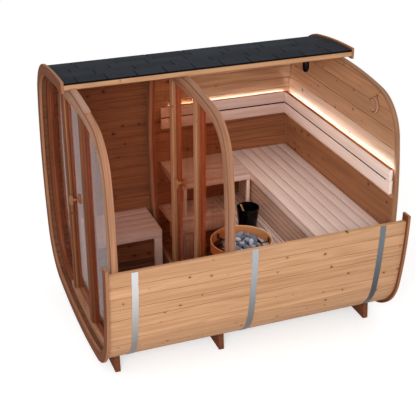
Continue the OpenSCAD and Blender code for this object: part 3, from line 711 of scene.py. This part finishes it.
lay_felt(FELT_IN, OUT, SHELL_0, SHELL_1, S_CORNER, S_TOP)
lay_felt(EDGE_IN, UNDER_IN, SHELL_0, SHELL_1, S_TOP - 0.005, S_TOP)
p = Piece("shingle_tabs")
rng = random.Random(5)
courses = [S_TOP]
while courses[-1] > S_CORNER + 0.05:
    step = COURSE_TOP if len(courses) == 1 else COURSE
    courses.append(max(courses[-1] - step, S_CORNER))
for k, (head, butt) in enumerate(zip(courses, courses[1:])):
    pitch = TAB_W if k else TAB_W_TOP
    x = SHELL_0 - STAGGER[k % 4]
    top = min(head + LAP, S_TOP - 0.0052)
    slope = LAP_IN if k else LAP_IN * (head - butt) / (head + LAP - butt)
    while x < SHELL_1:
        x0, x1 = max(x, SHELL_0), min(x + pitch - TAB_GAP, SHELL_1)
        x += pitch
        if x1 - x0 < 0.02:
            continue
        rise = rng.uniform(0, TAB_LOOSE)
        verts = []
        line = stations(butt + rng.uniform(0, 0.002), top, 0.04)
        for i, s in enumerate(line):
            o = TAB_IN - rise + slope * (i / (len(line) - 1))
            verts += [spot(b, *at(s, a)) for a, b in (
                (o + TAB_T, x0), (o, x0), (o, x1), (o + TAB_T, x1))]
        p.add((verts, tube_faces(4, len(line))), wall_grain)
        # Felt raised into the gap between two tabs: painted shade in the slit.
        if x1 + TAB_GAP < SHELL_1:
            lay_felt(GAP_IN, UNDER_IN, x1, x1 + TAB_GAP, butt + 0.002, head)
p.finish("shingle", M_SHINGLE)
felt.finish("shingle", M_FELT, replaces=["roof_shingles"])

STRAP_IN, STRAP_W = 0.0255, 0.05
for k, (end, x) in enumerate((("front", 0.222), ("middle", 1.156), ("rear", LENGTH - 0.224))):
    p = Piece("strap_" + end)
    # Each strap's far half takes the front strap's brightest steel: painted reflection.
    p.add(sweep(rim(STRAP_IN, OUT, x - STRAP_W / 2, x + STRAP_W / 2, 0.0006),
                stations(S_CUT - ROUND, S_CORNER)), hoop_grain, lambda c: int(c[1] > 0))
    p.finish("band_steel", [M_PAINTED_STEEL[k], M_PAINTED_STEEL[0]], replaces=["band_" + end])

for node in ("cradle_front", "cradle_middle", "cradle_rear"):
    Piece(node + "_timber").add_node(node, straight("y")).finish(
        "cradle_wood", M_CRADLE, replaces=[node], bevel=0.004)

# ---- glazed walls ----

PARTITION_X = 0.953
FRAME_D, POST_D, REBATE = 0.056, 0.085, 0.01
POST_IN, POST_OUT = 0.25, 0.32  # the posts' sides, from the middle
RAIL_Z = HALF_H - FRAME_IN - 0.025
STEP = 0.021  # behind this depth the arch's inner face has the side's wood
FAR_ARCH = 0.4  # beyond this the arch takes a darker wood: painted shade on its far part
FACE, SIDE, SEAL, MIDDLE, INSIDE = range(5)

# The posts in layers, front to back: from, to, set back from the sides, material. The recessed seal
# layers are dark brown: partly a seal, partly painted shade in the grooves.
LAYERS = (
    (-1, ((0, 0.009, 0, FACE), (0.009, 0.017, 0.002, SEAL), (0.017, 0.03, 0.0005, INSIDE))),
    (1, ((0, 0.007, 0, FACE), (0.007, STEP, 0.001, MIDDLE), (STEP, 0.03, 0.001, SIDE))),
)
BACK_LAYERS = ((0.03, 0.04, 0.003, SEAL), (0.04, POST_D, 0, SIDE))


def glazed_wall(tag, x, post, side_wood, far_shade_wood):
    """Arch with sill and head, its bead, two door posts, the hinges' finish and the handle."""
    e = 0.0025
    section = [(IN + REBATE + e, x), (FRAME_IN - 2 * e, x), (FRAME_IN, x + 2 * e),
               (FRAME_IN, x + STEP), (FRAME_IN, x + FRAME_D - e), (FRAME_IN - e, x + FRAME_D),
               (IN, x + FRAME_D), (IN, x + REBATE), (IN + REBATE, x + REBATE),
               (IN + REBATE, x + e)]

    def arch_side(c):
        if c[0] - FRONT_X > x + STEP and set_in(c) > FRAME_IN - 0.002:
            return 1
        return 2 * (c[1] > FAR_ARCH)

    p = Piece(tag + "_arch")
    p.add(sweep(section, stations(0, ROUND), closed=True), hoop_grain, arch_side)
    for side in (-1, 1):
        ys = [-POST_IN + 2 * POST_IN * k / 8 for k in range(9)]
        curve = [(y, side * -floor_z(y, FRAME_IN)) for y in ys]
        p.add(prism(curve + [(POST_IN, side * RAIL_Z), (-POST_IN, side * RAIL_Z)], x, x + POST_D),
              straight("y"))
    p.finish("frame_wood", [M_FRAME, M_POST_IN, far_shade_wood], replaces=[tag + "_frame"])

    p = Piece(tag + "_arch_seal")
    o0, x0 = IN + 0.002, x + 0.002
    p.add(sweep([(o0, x0), (IN + REBATE, x0), (IN + REBATE, x + REBATE), (o0, x + REBATE)],
                stations(0, ROUND), closed=True), hoop_grain)
    p.finish("frame_wood", M_BEAD)

    p = Piece(tag + "_jambs")
    for side, layers in LAYERS:
        for x0, x1, inset, m in layers + BACK_LAYERS:
            a, b = side * (POST_IN + inset), side * (POST_OUT - inset)
            za, zb = floor_z(a, FRAME_IN), floor_z(b, FRAME_IN)
            p.add(prism([(a, za), (b, zb), (b, -zb), (a, -za)], x + x0, x + x1), post_grain, m)
    p.finish("frame_wood", [post, side_wood, M_SEAL, M_POST_MID, M_POST_IN],
             replaces=[tag + "_posts"], bevel=0.002)

    for end in ("_door_hinges", "_hinge_plates"):
        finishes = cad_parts[tag + end].data.materials
        finishes.clear()
        finishes.append(M_HINGE)
    handle = tag + "_door_handle"
    Piece(tag + "_pull").add_node(handle).finish(
        "handle_wood", M_HANDLE, body=tag + "_door", replaces=[handle], bevel=0.003)


glazed_wall("front", LIP, M_FRONT_POST, M_POST_IN, M_FRONT_ARCH_SHADE)
# A strip of pale wood on the front arch, beside the roof's cut edge.
p = Piece("arch_packing")
p.add(sweep(rim(IN - 0.012, IN, LIP + 0.006, LIP + FRAME_D, 0.001), stations(S_TOP, S_TOP + 0.45)),
      hoop_grain)
p.finish("frame_wood", M_PACKING)
glazed_wall("partition", PARTITION_X, M_POST, M_POST_SIDE, M_ARCH_FAR_SHADE)
for tag, m, slot in (("front", M_FRONT, "front_glass"), ("partition", M_BRONZE, "partition_glass")):
    for part, body in (("side", "building"), ("door", tag + "_door")):
        node = "%s_%s_glass" % (tag, part)
        p = Piece("%s_%s_panes" % (tag, part)).add_node(node)
        for f in p.bm.faces:
            f.normal_update()
            f.material_index = int(abs(f.normal[0]) < 0.5)
        p.finish(slot, [m, M_EDGE], body=body, replaces=[node])

# ---- rear wall ----

REAR_T = 0.034
REAR_1 = LENGTH - 0.087
REAR_0 = REAR_1 - REAR_T
REAR_BOARD, REAR_GAP = 0.135, 0.002  # a board's pitch, half the gap between two
GLOW_BOARD = (0.39, 0.525)  # the board above the end backrest, painted pale: painted light of its strip's glow
LOW_Z = 0.13  # the boards are painted darker below this height: painted shade


def rear_side(c):
    """Material of a rear board's face: 3 outside, 4 the board painted pale with the strip's glow, 2
    low down in painted shade, 0 elsewhere.
    """
    if c[0] - FRONT_X > REAR_1 - 0.004:
        return 3
    z = c[2] - MID_Z
    return 4 if GLOW_BOARD[0] < z < GLOW_BOARD[1] else 2 * (z < LOW_Z)


outline = [at(s, RIM_IN) for s in stations(0, ROUND)[:-1]]
p = Piece("rear_boards")
heights = [0.93 - REAR_BOARD * k for k in range(-1, 15)]
for hi, lo in zip(heights, heights[1:]):
    strip = clip(clip(outline, hi - REAR_GAP, False), lo + REAR_GAP, True)
    if len(strip) > 2 and max(a[1] for a in strip) - min(a[1] for a in strip) > 0.01:
        p.add(prism(strip, REAR_0, REAR_0 + REAR_T), straight("wall"), rear_side)
# Dark strips behind the joints between rear boards: painted shade.
for z in heights[2:-2]:
    y = side_y(z, RIM_IN) - 0.004
    p.plank("y", REAR_0 + 0.005, REAR_0 + REAR_T - 0.005, -y, y, z - REAR_GAP, z + REAR_GAP, 1)
p.finish("stave_wood", [M_REAR, M_JOINT_SHADE, M_REAR_LOW_SHADE, M_WALL, M_REAR_GLOW], replaces=["rear_wall"],
         bevel=0.0012, segments=1, angle=50)
p = Piece("rear_rim")
p.add(sweep(rim(IN, RIM_IN, REAR_0, REAR_1, 0.002), stations(0, ROUND), closed=True), hoop_grain)
p.finish("ring_wood", M_RIM, replaces=["rear_wall_rim"])

lo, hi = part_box("vent_cover")
r, y, z = (hi[1] - lo[1]) / 2, (hi[1] + lo[1]) / 2, (hi[2] + lo[2]) / 2 - MID_Z
t = hi[0] - lo[0]
p = Piece("vent_disc")
# Disc, groove, ring and edge: inner and outer radius, thickness, material. The groove and the thin
# edge ring take the joint shade: painted shade round the disc.
for r0, r1, out, m in (
        (CORE, r - 0.017, t, 0), (r - 0.0175, r - 0.0115, t - 0.0035, 1),
        (r - 0.012, r - 0.001, t - 0.002, 0), (r - 0.0015, r, 0.003, 1)):
    e = 0.002 * (m == 0)
    p.add(lathe([(r0, 0), (r1, 0), (r1, 0.002 - out), (r1 - e, -out),
                 (r0 + e * (r0 > CORE), -out), (r0, 0.002 - out)], REAR_0, y, z, axis="x"),
          straight("y"), m)
p.finish("vent_wood", [M_VENT, M_JOINT_SHADE], replaces=["vent_cover"])

# ---- benches ----

UP, LOW, CHANGE = -0.16, -0.53, -0.575  # tops of the seats
SEAT_T, GAP, GAP_DEEP = 0.028, 0.0055, 0.0024  # the gaps' dark strips, painted shade, lie GAP_DEEP down
RAIL_T, POST_T = 0.045, 0.028
CHANGE_RAIL, UP_RAIL, LOW_RAIL = CHANGE - 0.078, UP - 0.08, LOW - 0.155  # feet of the rails
CHANGE_X0, CHANGE_X1, CHANGE_Y = 0.165, 0.907, 0.46
UP_X0, UP_Y, UP_END_X = 1.08, 0.5, 1.765
LOW_X0, LOW_Y, LOW_BACK, LOW_END_X = 1.01, 0.485, 0.85, 1.515
RISER_X0, RISER_X1 = 1.79, 1.81
BENCH = "bench_wood"


def slats(p, lo, hi, cuts, axis, top, gap=GAP):
    """Seat boards between cuts, along axis from lo to hi, with dark strips of painted shade in
    their gaps.
    """
    z0 = top - SEAT_T
    for a, b in zip(cuts, cuts[1:]):
        for c, d, low, high, m in (
                (a + gap / 2, b - gap / 2, z0, top, 0),
                (b - gap / 2, b + gap / 2, z0 + 0.006, top - GAP_DEEP, 1)):
            if m and b == cuts[-1]:
                continue
            ends, sides = (lo + 0.002 * m, hi - 0.002 * m), (c, d)
            plan = ends + sides if axis == "x" else sides + ends
            p.plank(axis, *plan, low, high, m)


def leg(p, x, wide, y0, y1, top):
    """An upright from the shell's curve up to a height."""
    p.add(prism([(y0, floor_z(y0)), (y1, floor_z(y1)), (y1, top), (y0, top)], x, x + wide))


p = Piece("changing_bench_boards")
back = side_y(CHANGE - SEAT_T, IN) - 0.003
slats(p, CHANGE_X0, CHANGE_X1, even(CHANGE_Y - GAP / 2, back, 0.095), "x", CHANGE)
p.plank("x", CHANGE_X0, CHANGE_X1, CHANGE_Y, CHANGE_Y + RAIL_T, CHANGE_RAIL, CHANGE - SEAT_T)
for x in (CHANGE_X0, CHANGE_X1 - 0.065):
    leg(p, x, 0.065, CHANGE_Y, CHANGE_Y + RAIL_T, CHANGE_RAIL)
p.finish(BENCH, [M_CHANGE_SHADE, M_JOINT_SHADE], replaces=["changing_bench"], bevel=0.001)

back = side_y(UP - SEAT_T, IN) - 0.002
p = Piece("upper_far_boards")
slats(p, UP_X0, UP_END_X - GAP, even(UP_Y - GAP / 2, back, 0.0935), "x", UP)
p.plank("x", UP_X0, UP_END_X, UP_Y, UP_Y + RAIL_T, UP_RAIL, UP - SEAT_T, 2)
p.plank("y", UP_X0, UP_X0 + POST_T, UP_Y + RAIL_T, side_y(UP_RAIL, IN) - 0.002, UP_RAIL,
        UP - SEAT_T)
for x in (1.136, UP_END_X - POST_T):
    p.plank("z", x, x + POST_T, UP_Y, UP_Y + POST_T, LOW, UP_RAIL, 2)
p.finish(BENCH, [M_BENCH_FAR_SHADE, M_JOINT_SHADE, M_RAIL_PAINTED_LIGHT], replaces=["upper_bench_far"], bevel=0.001)

p = Piece("upper_end_boards")
slats(p, -back, back, [UP_END_X - GAP / 2, 1.878, 1.97, 2.063, 2.16, 2.253, REAR_0], "y", UP)
p.plank("y", UP_END_X, RISER_X0, -back + 0.003, UP_Y + RAIL_T, UP_RAIL, UP - SEAT_T, 2)
p.finish(BENCH, [M_BENCH, M_JOINT_SHADE, M_RAIL_PAINTED_LIGHT], replaces=["upper_bench_end"], bevel=0.001)

p = Piece("riser_slats")
RISER_GAP = 0.003  # half the gap between two slats
joints = [LOW, -0.515, -0.469, -0.419, -0.37, -0.321, -0.275, UP - SEAT_T]
for z0, z1 in zip(joints, joints[1:]):
    p.plank("wall", RISER_X0, RISER_X1, -0.822, 0.822, z0 + (z0 > LOW) * RISER_GAP, z1 - RISER_GAP)
# Dark strips in the riser's gaps: painted shade.
for z in joints[1:-1]:
    p.plank("wall", RISER_X0 + 0.0018, RISER_X1 - 0.002, -0.82, 0.82, z - RISER_GAP,
            z + RISER_GAP, 1)
p.finish(BENCH, [M_RISER, M_JOINT_SHADE], replaces=["bench_riser"], bevel=0.001)

p = Piece("lower_far_boards")
slats(p, LOW_X0, LOW_END_X - GAP, even(LOW_Y - GAP / 2, LOW_BACK, 0.0915), "x", LOW)
p.plank("x", LOW_X0, LOW_END_X, LOW_Y, LOW_Y + RAIL_T, LOW_RAIL, LOW - SEAT_T)
leg(p, 1.14, 0.08, LOW_Y, LOW_Y + RAIL_T, LOW_RAIL)
for x in (1.14, 1.435):
    leg(p, x, 0.08, LOW_BACK - POST_T, LOW_BACK, LOW - SEAT_T)
p.finish(BENCH, [M_BENCH_FAR_SHADE, M_JOINT_SHADE], replaces=["lower_bench_far"], bevel=0.001)

p = Piece("lower_end_boards")
slats(p, -LOW_BACK, LOW_BACK, [1.5115, 1.548, 1.595, 1.64, 1.683, 1.7285, 1.774, 1.8135], "y",
      LOW, 0.007)
p.plank("y", LOW_END_X, LOW_END_X + RAIL_T, -LOW_BACK, LOW_Y + RAIL_T, LOW_RAIL, LOW - SEAT_T)
leg(p, LOW_END_X, RAIL_T, LOW_Y, LOW_Y + RAIL_T, LOW_RAIL)
leg(p, LOW_END_X, RAIL_T, -0.565, -0.485, LOW_RAIL)
for y in (-LOW_BACK, LOW_BACK - 0.08):
    leg(p, RISER_X1 - POST_T, POST_T, y, y + 0.08, LOW - SEAT_T)
p.finish(BENCH, [M_BENCH, M_JOINT_SHADE], replaces=["lower_bench_end"], bevel=0.001)

# ---- backrests and lights ----

TOP, SLAT_H, SLAT_GAP, SLAT_T, BACK_Y = 0.385, 0.095, 0.014, 0.028, 0.932
CAP_T, GAP_BACK = 0.003, 0.022  # cap on a backrest; depth of the gap's dark strip of painted shade
PROP_W = 0.045
END_1 = REAR_0 - 0.022
END_0 = END_1 - SLAT_T
ROWS = (TOP - SLAT_H, TOP - 2 * SLAT_H - SLAT_GAP)
PROP_Z0, PROP_Z1 = ROWS[1] + 0.01, TOP - 0.032
FAR_1 = BACK_Y + SLAT_T
p = Piece("backrest_far_slats")
for z in ROWS:
    p.plank("x", UP_X0, END_0, BACK_Y, FAR_1, z, z + SLAT_H - (z == ROWS[0]) * CAP_T)
p.plank("x", UP_X0 + 0.003, END_0, BACK_Y + 0.003, BACK_Y + GAP_BACK, ROWS[0] - SLAT_GAP, ROWS[0],
        1)
p.plank("x", UP_X0, END_0, BACK_Y, FAR_1, TOP - CAP_T, TOP, 2)
for x in (1.14, (UP_X0 + END_0) / 2, END_0 - 0.12):
    p.plank("z", x, x + PROP_W, FAR_1, side_y(TOP, IN) - 0.001, PROP_Z0, PROP_Z1)
p.finish(BENCH, [M_BENCH_FAR_SHADE, M_JOINT_SHADE, M_CAP], replaces=["backrest_far"], bevel=0.0012)

p = Piece("backrest_end_slats")
for z in ROWS:
    near = -side_y(z + SLAT_H, IN) + 0.003
    p.plank("wall", END_0, END_1, near, FAR_1, z, z + SLAT_H - (z == ROWS[0]) * CAP_T)
near = -side_y(TOP, IN) + 0.003
p.plank("y", END_0, END_1, near, FAR_1, TOP - CAP_T, TOP, 2)
near, edge = -side_y(ROWS[0], IN) + 0.003, -BACK_Y + 0.008
p.plank("z", END_0, END_1, near, edge, ROWS[0] - SLAT_GAP, ROWS[0])
p.plank("y", END_0 + 0.003, END_0 + GAP_BACK, edge, BACK_Y, ROWS[0] - SLAT_GAP, ROWS[0], 1)
for y in (-0.82, 0.0, 0.78):
    p.plank("z", END_1, REAR_0, y, y + PROP_W, PROP_Z0, PROP_Z1)
p.finish(BENCH, [M_RAIL_PAINTED_LIGHT, M_JOINT_SHADE, M_CAP], replaces=["backrest_end"], bevel=0.0012)

# Light channels: an open box with thin walls, and the lit strip in it.
LED_H, LED_W, LED_WALL, LED_START = 0.012, 0.012, 0.0015, 1.175
LED_DOWN_FAR, LED_DOWN_END = 0.009, 0.018  # the channels lie this far below the tops
p = Piece("light_channels")
for along, lo, hi, face, down in (
        ("x", LED_START, END_0 - 0.004, FAR_1, LED_DOWN_FAR),
        ("y", -side_y(TOP, RIM_IN) + 0.006, BACK_Y - 0.004, END_1, LED_DOWN_END)):
    z1 = TOP - down
    z0 = z1 - LED_H
    low = z0 + LED_WALL
    a0, a1 = face + 0.0005, face + LED_W - 0.0005
    for a, b, c, d, m in (
            (a0, a1, z0, low, 0), (a0, a0 + 0.001, low, z1, 0), (a1 - 0.001, a1, low, z1, 0),
            (a0 + 0.001, a1 - 0.001, low + 0.0015, z1 - 0.003, 1)):
        plan = (lo, hi, a, b) if along == "x" else (a, b, lo, hi)
        p.plank(along, *plan, c, d, m)
p.finish("light_strip", [M_LAMP, M_LED], replaces=["led_strips"])

lo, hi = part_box("spotlight")
r, x, y = (hi[1] - lo[1]) / 2, (hi[0] + lo[0]) / 2 - FRONT_X, (hi[1] + lo[1]) / 2
z0, z1 = lo[2] - MID_Z, hi[2] - MID_Z


def disc(radius, low, high, turns):
    """A flat disc under the ceiling, about the lamp's axis."""
    return lathe([(CORE, low), (radius, low), (radius, high), (CORE, high)], x, y, 0, turns=turns)


p = Piece("spot_can")
p.add(lathe([(CORE, z0 + 0.006), (r * 0.5, z0 + 0.006), (r * 0.52, z0), (r * 0.62, z0 + 0.001),
             (r, z0 + 0.028), (r, z0 + 0.04), (r - 0.002, z0 + 0.042), (r, z0 + 0.044),
             (r, z1 - 0.012), (r * 0.9, z1 - 0.006), (CORE, z1 - 0.006)], x, y, 0, turns=48))
p.add(disc(r * 0.98, z1 - 0.006, z1 - 0.002, 48))
p.finish("lamp_black", M_LAMP, replaces=["spotlight"])
p = Piece("spot_lens")
p.add(disc(r * 0.49, z0 + 0.0025, z0 + 0.0055, 32))
p.finish("lamp_black", M_LENS)

# ---- heater, bucket and ladle ----

HX, HY = 1.3, -0.43
HEAT_R, HEAT_TOP, HEAT_FOOT = 0.17, -0.35, floor_z(0, IN) + 0.06
DRUM_T, DECK, DECK_T = 0.004, HEAT_TOP - 0.26, 0.004  # the drum is open down to its deck
GROOVE = 0.0025
FOOT = 0.011  # half the width of a foot
p = Piece("heater_drum")
wall = [(HEAT_R, HEAT_FOOT)]
for k in range(5):
    z = HEAT_FOOT + 0.08 + k * 0.075
    wall += [(HEAT_R, z), (HEAT_R - GROOVE, z + 0.003), (HEAT_R - GROOVE, z + 0.009),
             (HEAT_R, z + 0.012)]
inside = HEAT_R - DRUM_T
wall += [(HEAT_R, HEAT_TOP - 0.003), (HEAT_R - 0.001, HEAT_TOP), (HEAT_R - 0.003, HEAT_TOP),
         (inside, HEAT_TOP - 0.003), (inside, DECK), (CORE, DECK), (CORE, DECK - DECK_T),
         (inside, DECK - DECK_T), (inside, HEAT_FOOT)]
p.add(lathe(wall, HX, HY, 0, turns=96))
for k in range(4):
    a = math.radians(45 + 90 * k)
    px, py = HX + (HEAT_R - 0.017) * math.cos(a), HY + (HEAT_R - 0.017) * math.sin(a)
    p.plank("z", px - FOOT, px + FOOT, py - FOOT, py + FOOT, floor_z(py) + 0.002, HEAT_FOOT + 0.02)
p.finish("heater_black", M_BLACK, replaces=["heater"], bevel=0.0012)


def stone(rng, centre, size):
    """A broken stone: the hull of points on a squashed ball, with eased edges."""
    pts = []
    for _ in range(16):
        v = Vector((rng.gauss(0, 1), rng.gauss(0, 1), rng.gauss(0, 1))).normalized()
        pts.append(v * rng.uniform(0.82, 1.0))
    bm = bmesh.new()
    long = Vector((rng.gauss(0, 1), rng.gauss(0, 1), rng.gauss(0, 0.4))).normalized()
    flat = Vector((rng.gauss(0, 0.5), rng.gauss(0, 0.5), 1)).normalized()
    for q in pts:
        q = q + long * q.dot(long) * 0.55 - flat * q.dot(flat) * 0.3
        bm.verts.new(Vector(centre) + q * size)
    hull = bmesh.ops.convex_hull(bm, input=bm.verts)
    buried = [g for g in hull["geom_interior"] if isinstance(g, bmesh.types.BMVert)]
    bmesh.ops.delete(bm, geom=buried, context="VERTS")
    bmesh.ops.dissolve_limit(bm, angle_limit=math.radians(12), verts=bm.verts, edges=bm.edges)
    ease_edges(bm, list(bm.edges), size * 0.1, 1)
    bm.verts.index_update()
    out = [tuple(v.co) for v in bm.verts], [[v.index for v in f.verts] for f in bm.faces]
    bm.free()
    return out


# Stones dropped at random in layers from the top, each kept where it has room.
LAYER_H, HEAP, REACH = 0.03, 0.052, HEAT_R - 0.005
p = Piece("stone_pile")
rng = random.Random(11)
placed = []
for layer in range(3):
    for _ in range(2500):
        a, q = rng.uniform(0, 2 * math.pi), math.sqrt(rng.random())
        size = rng.uniform(0.027, 0.04)
        d = (REACH - size * 1.05) * q
        x, y = d * math.cos(a), d * math.sin(a)
        heap = HEAP * (1 - (d / REACH) ** 10)
        z = HEAT_TOP + heap - size * 0.64 - layer * LAYER_H
        c = Vector((x, y, z))
        if all((c - b).length > 0.8 * (size + other) for b, other in placed):
            placed.append((c, size))
            p.add(stone(rng, spot(HX + x, HY + y, z), size))
p.finish("stones", M_STONE, replaces=["heater_stones"])

HOOP_R, HOOP_T, HOOP_TOP, HOOP_H = 0.25, 0.008, -0.3, 0.09
HOOP_0, HOOP_FOOT = HOOP_R - HOOP_T, HOOP_TOP - HOOP_H
p = Piece("guard_hoop")
e = 0.002
# The hoop's top face takes the paler copy: painted highlight.
p.add(lathe([(HOOP_0 + e, HOOP_FOOT), (HOOP_R - e, HOOP_FOOT), (HOOP_R, HOOP_FOOT + e),
             (HOOP_R, HOOP_TOP - e), (HOOP_R - e, HOOP_TOP), (HOOP_0 + e, HOOP_TOP),
             (HOOP_0, HOOP_TOP - e), (HOOP_0, HOOP_FOOT + e)], HX, HY, 0, turns=96),
      turned_grain(HX, HY, HOOP_R), lambda c: int(c[2] > MID_Z + HOOP_TOP - 0.0015))
p.finish("hoop_wood", [M_HOOP, M_HOOP_HIGHLIGHT], replaces=["heater_guard"])

# Each bracket is an arm from the drum and a plate against the hoop: radii, half width, heights.
ARM = (HEAT_R - 0.001, HOOP_0 - 0.003, 0.004, HEAT_TOP - 0.019, HEAT_TOP - 0.011)
PLATE = (HOOP_0 - 0.0045, HOOP_0 - 0.0012, 0.016, HEAT_TOP - 0.02, HEAT_TOP + 0.022)
p = Piece("guard_brackets")
for k in range(3):
    a = math.radians(120 * k)
    out, side = Vector((math.cos(a), math.sin(a))), Vector((-math.sin(a), math.cos(a)))
    for r0, r1, w, z0, z1 in (ARM, PLATE):
        ring = [out * r + side * q for r, q in ((r0, -w), (r1, -w), (r1, w), (r0, w))]
        p.add(prism([(HX + v[0], HY + v[1]) for v in ring], z0, z1, "z"))
p.finish("heater_black", M_BLACK, replaces=["guard_legs"], bevel=0.0008)

BX, BY, B_R, B_BASE, B_H, B_T = 1.612, 0.18, 0.1, 0.08, 0.19, 0.006
BEAD_0, BEAD_1, BEAD_T, LIFT = 0.15, 0.16, 0.001, 0.003


def side_at(h, out=0.0):
    """A point of the bucket's profile at a height, on its sloping side or out from it."""
    return B_BASE + (B_R - B_BASE) / B_H * h + out, h


p = Piece("bucket_shell")
p.add(lathe([(CORE, LIFT), (B_BASE - 0.012, LIFT), (B_BASE - 0.01, 0), (B_BASE - 0.002, 0),
             side_at(0.004), side_at(BEAD_0), side_at(BEAD_0 + 0.002, BEAD_T),
             side_at(BEAD_1 - 0.002, BEAD_T), side_at(BEAD_1),
             (B_R - 0.0015, B_H - 0.01), (B_R, B_H - 0.007), (B_R, B_H - 0.002),
             (B_R - 0.002, B_H), (B_R - B_T + 0.001, B_H), (B_R - B_T, B_H - 0.003),
             (B_BASE - B_T, B_T + 0.002), (B_BASE - B_T - 0.003, B_T), (CORE, B_T)],
            BX, BY, LOW, turns=80))
p.finish("bucket_black", M_BUCKET, replaces=["bucket"])
Piece("ladle_turned").add_node("ladle").finish(
    "handle_wood", M_LADLE, replaces=["ladle"], bevel=0.0012)

# ---- studio ----

AZIMUTH, ELEVATION = -20.7, 26.39
KEY_POWER, ROOM_POWER, SKY, FLOOR_GREY, FLOOR_LIFT = 400, 5.0, 0.6, 0.7, 0.58

scene = bpy.context.scene
scene.view_settings.view_transform = "Standard"

camera = bpy.data.objects.new("camera", bpy.data.cameras.new("camera"))
camera.data.lens = 82.5
camera.data.sensor_width = 36.0
camera.location = (-2.592, -6.702, 4.461)
camera.rotation_euler = (math.radians(90 - ELEVATION), 0, math.radians(AZIMUTH))
scene.collection.objects.link(camera)
scene.camera = camera

# The world lights the part softly, and shows white to the camera and in metal and glass.
scene.world = bpy.data.worlds.new("studio")
n = Nodes(scene.world, "OutputWorld")
rays = n.node("LightPath").outputs
shown = n.maths("MAXIMUM", rays["Is Camera Ray"], rays["Is Transmission Ray"])
shown = n.maths("MAXIMUM", shown, rays["Is Glossy Ray"])
lit = n.node("Background", {"Color": (1.0, 0.985, 0.965, 1), "Strength": SKY})
white = n.node("Background", {"Color": WHITE, "Strength": 1.0})
n.finish(n.node("MixShader", {0: shown, 1: lit.outputs[0], 2: white.outputs[0]}))


def lamp(name, place, aim, size, power):
    """A square lamp at a place, turned towards another."""
    light = bpy.data.lights.new(name, "AREA")
    light.shape = "SQUARE"
    light.size = size
    light.energy = power
    obj = bpy.data.objects.new(name, light)
    obj.location = place
    obj.rotation_euler = (Vector(place) - Vector(aim)).to_track_quat("Z", "Y").to_euler()
    scene.collection.objects.link(obj)


lamp("key", (-3.8, -7.6, 4.8), (0, 0, 0.9), 3.5, KEY_POWER)
lamp("room", (0.22, 0.25, 2.03), (0.22, 0.25, 0), 0.5, ROOM_POWER)

# The floor keeps the shadow and looks nearly white. Gloss shows only a little of its light.
floor = bpy.data.meshes.new("floor")
floor.from_pydata([(-40, -40, 0), (40, -40, 0), (40, 40, 0), (-40, 40, 0)], [], [(0, 1, 2, 3)])
floor_obj = bpy.data.objects.new("floor", floor)
scene.collection.objects.link(floor_obj)
n = new_material("floor_paper")
paper = n.node("BsdfDiffuse", {"Color": (FLOOR_GREY, FLOOR_GREY, FLOOR_GREY, 1)})
rays = n.node("LightPath").outputs
seen = n.maths("MAXIMUM", rays["Is Camera Ray"], n.maths(
    "MAXIMUM", rays["Is Transmission Ray"], n.times(rays["Is Glossy Ray"], 0.15)))
lift = n.node("Emission", {"Color": (0.975, 0.99, 1, 1),
                           "Strength": n.times(seen, FLOOR_LIFT)})
floor.materials.append(n.finish(n.node("AddShader", {0: paper.outputs[0], 1: lift.outputs[0]})))
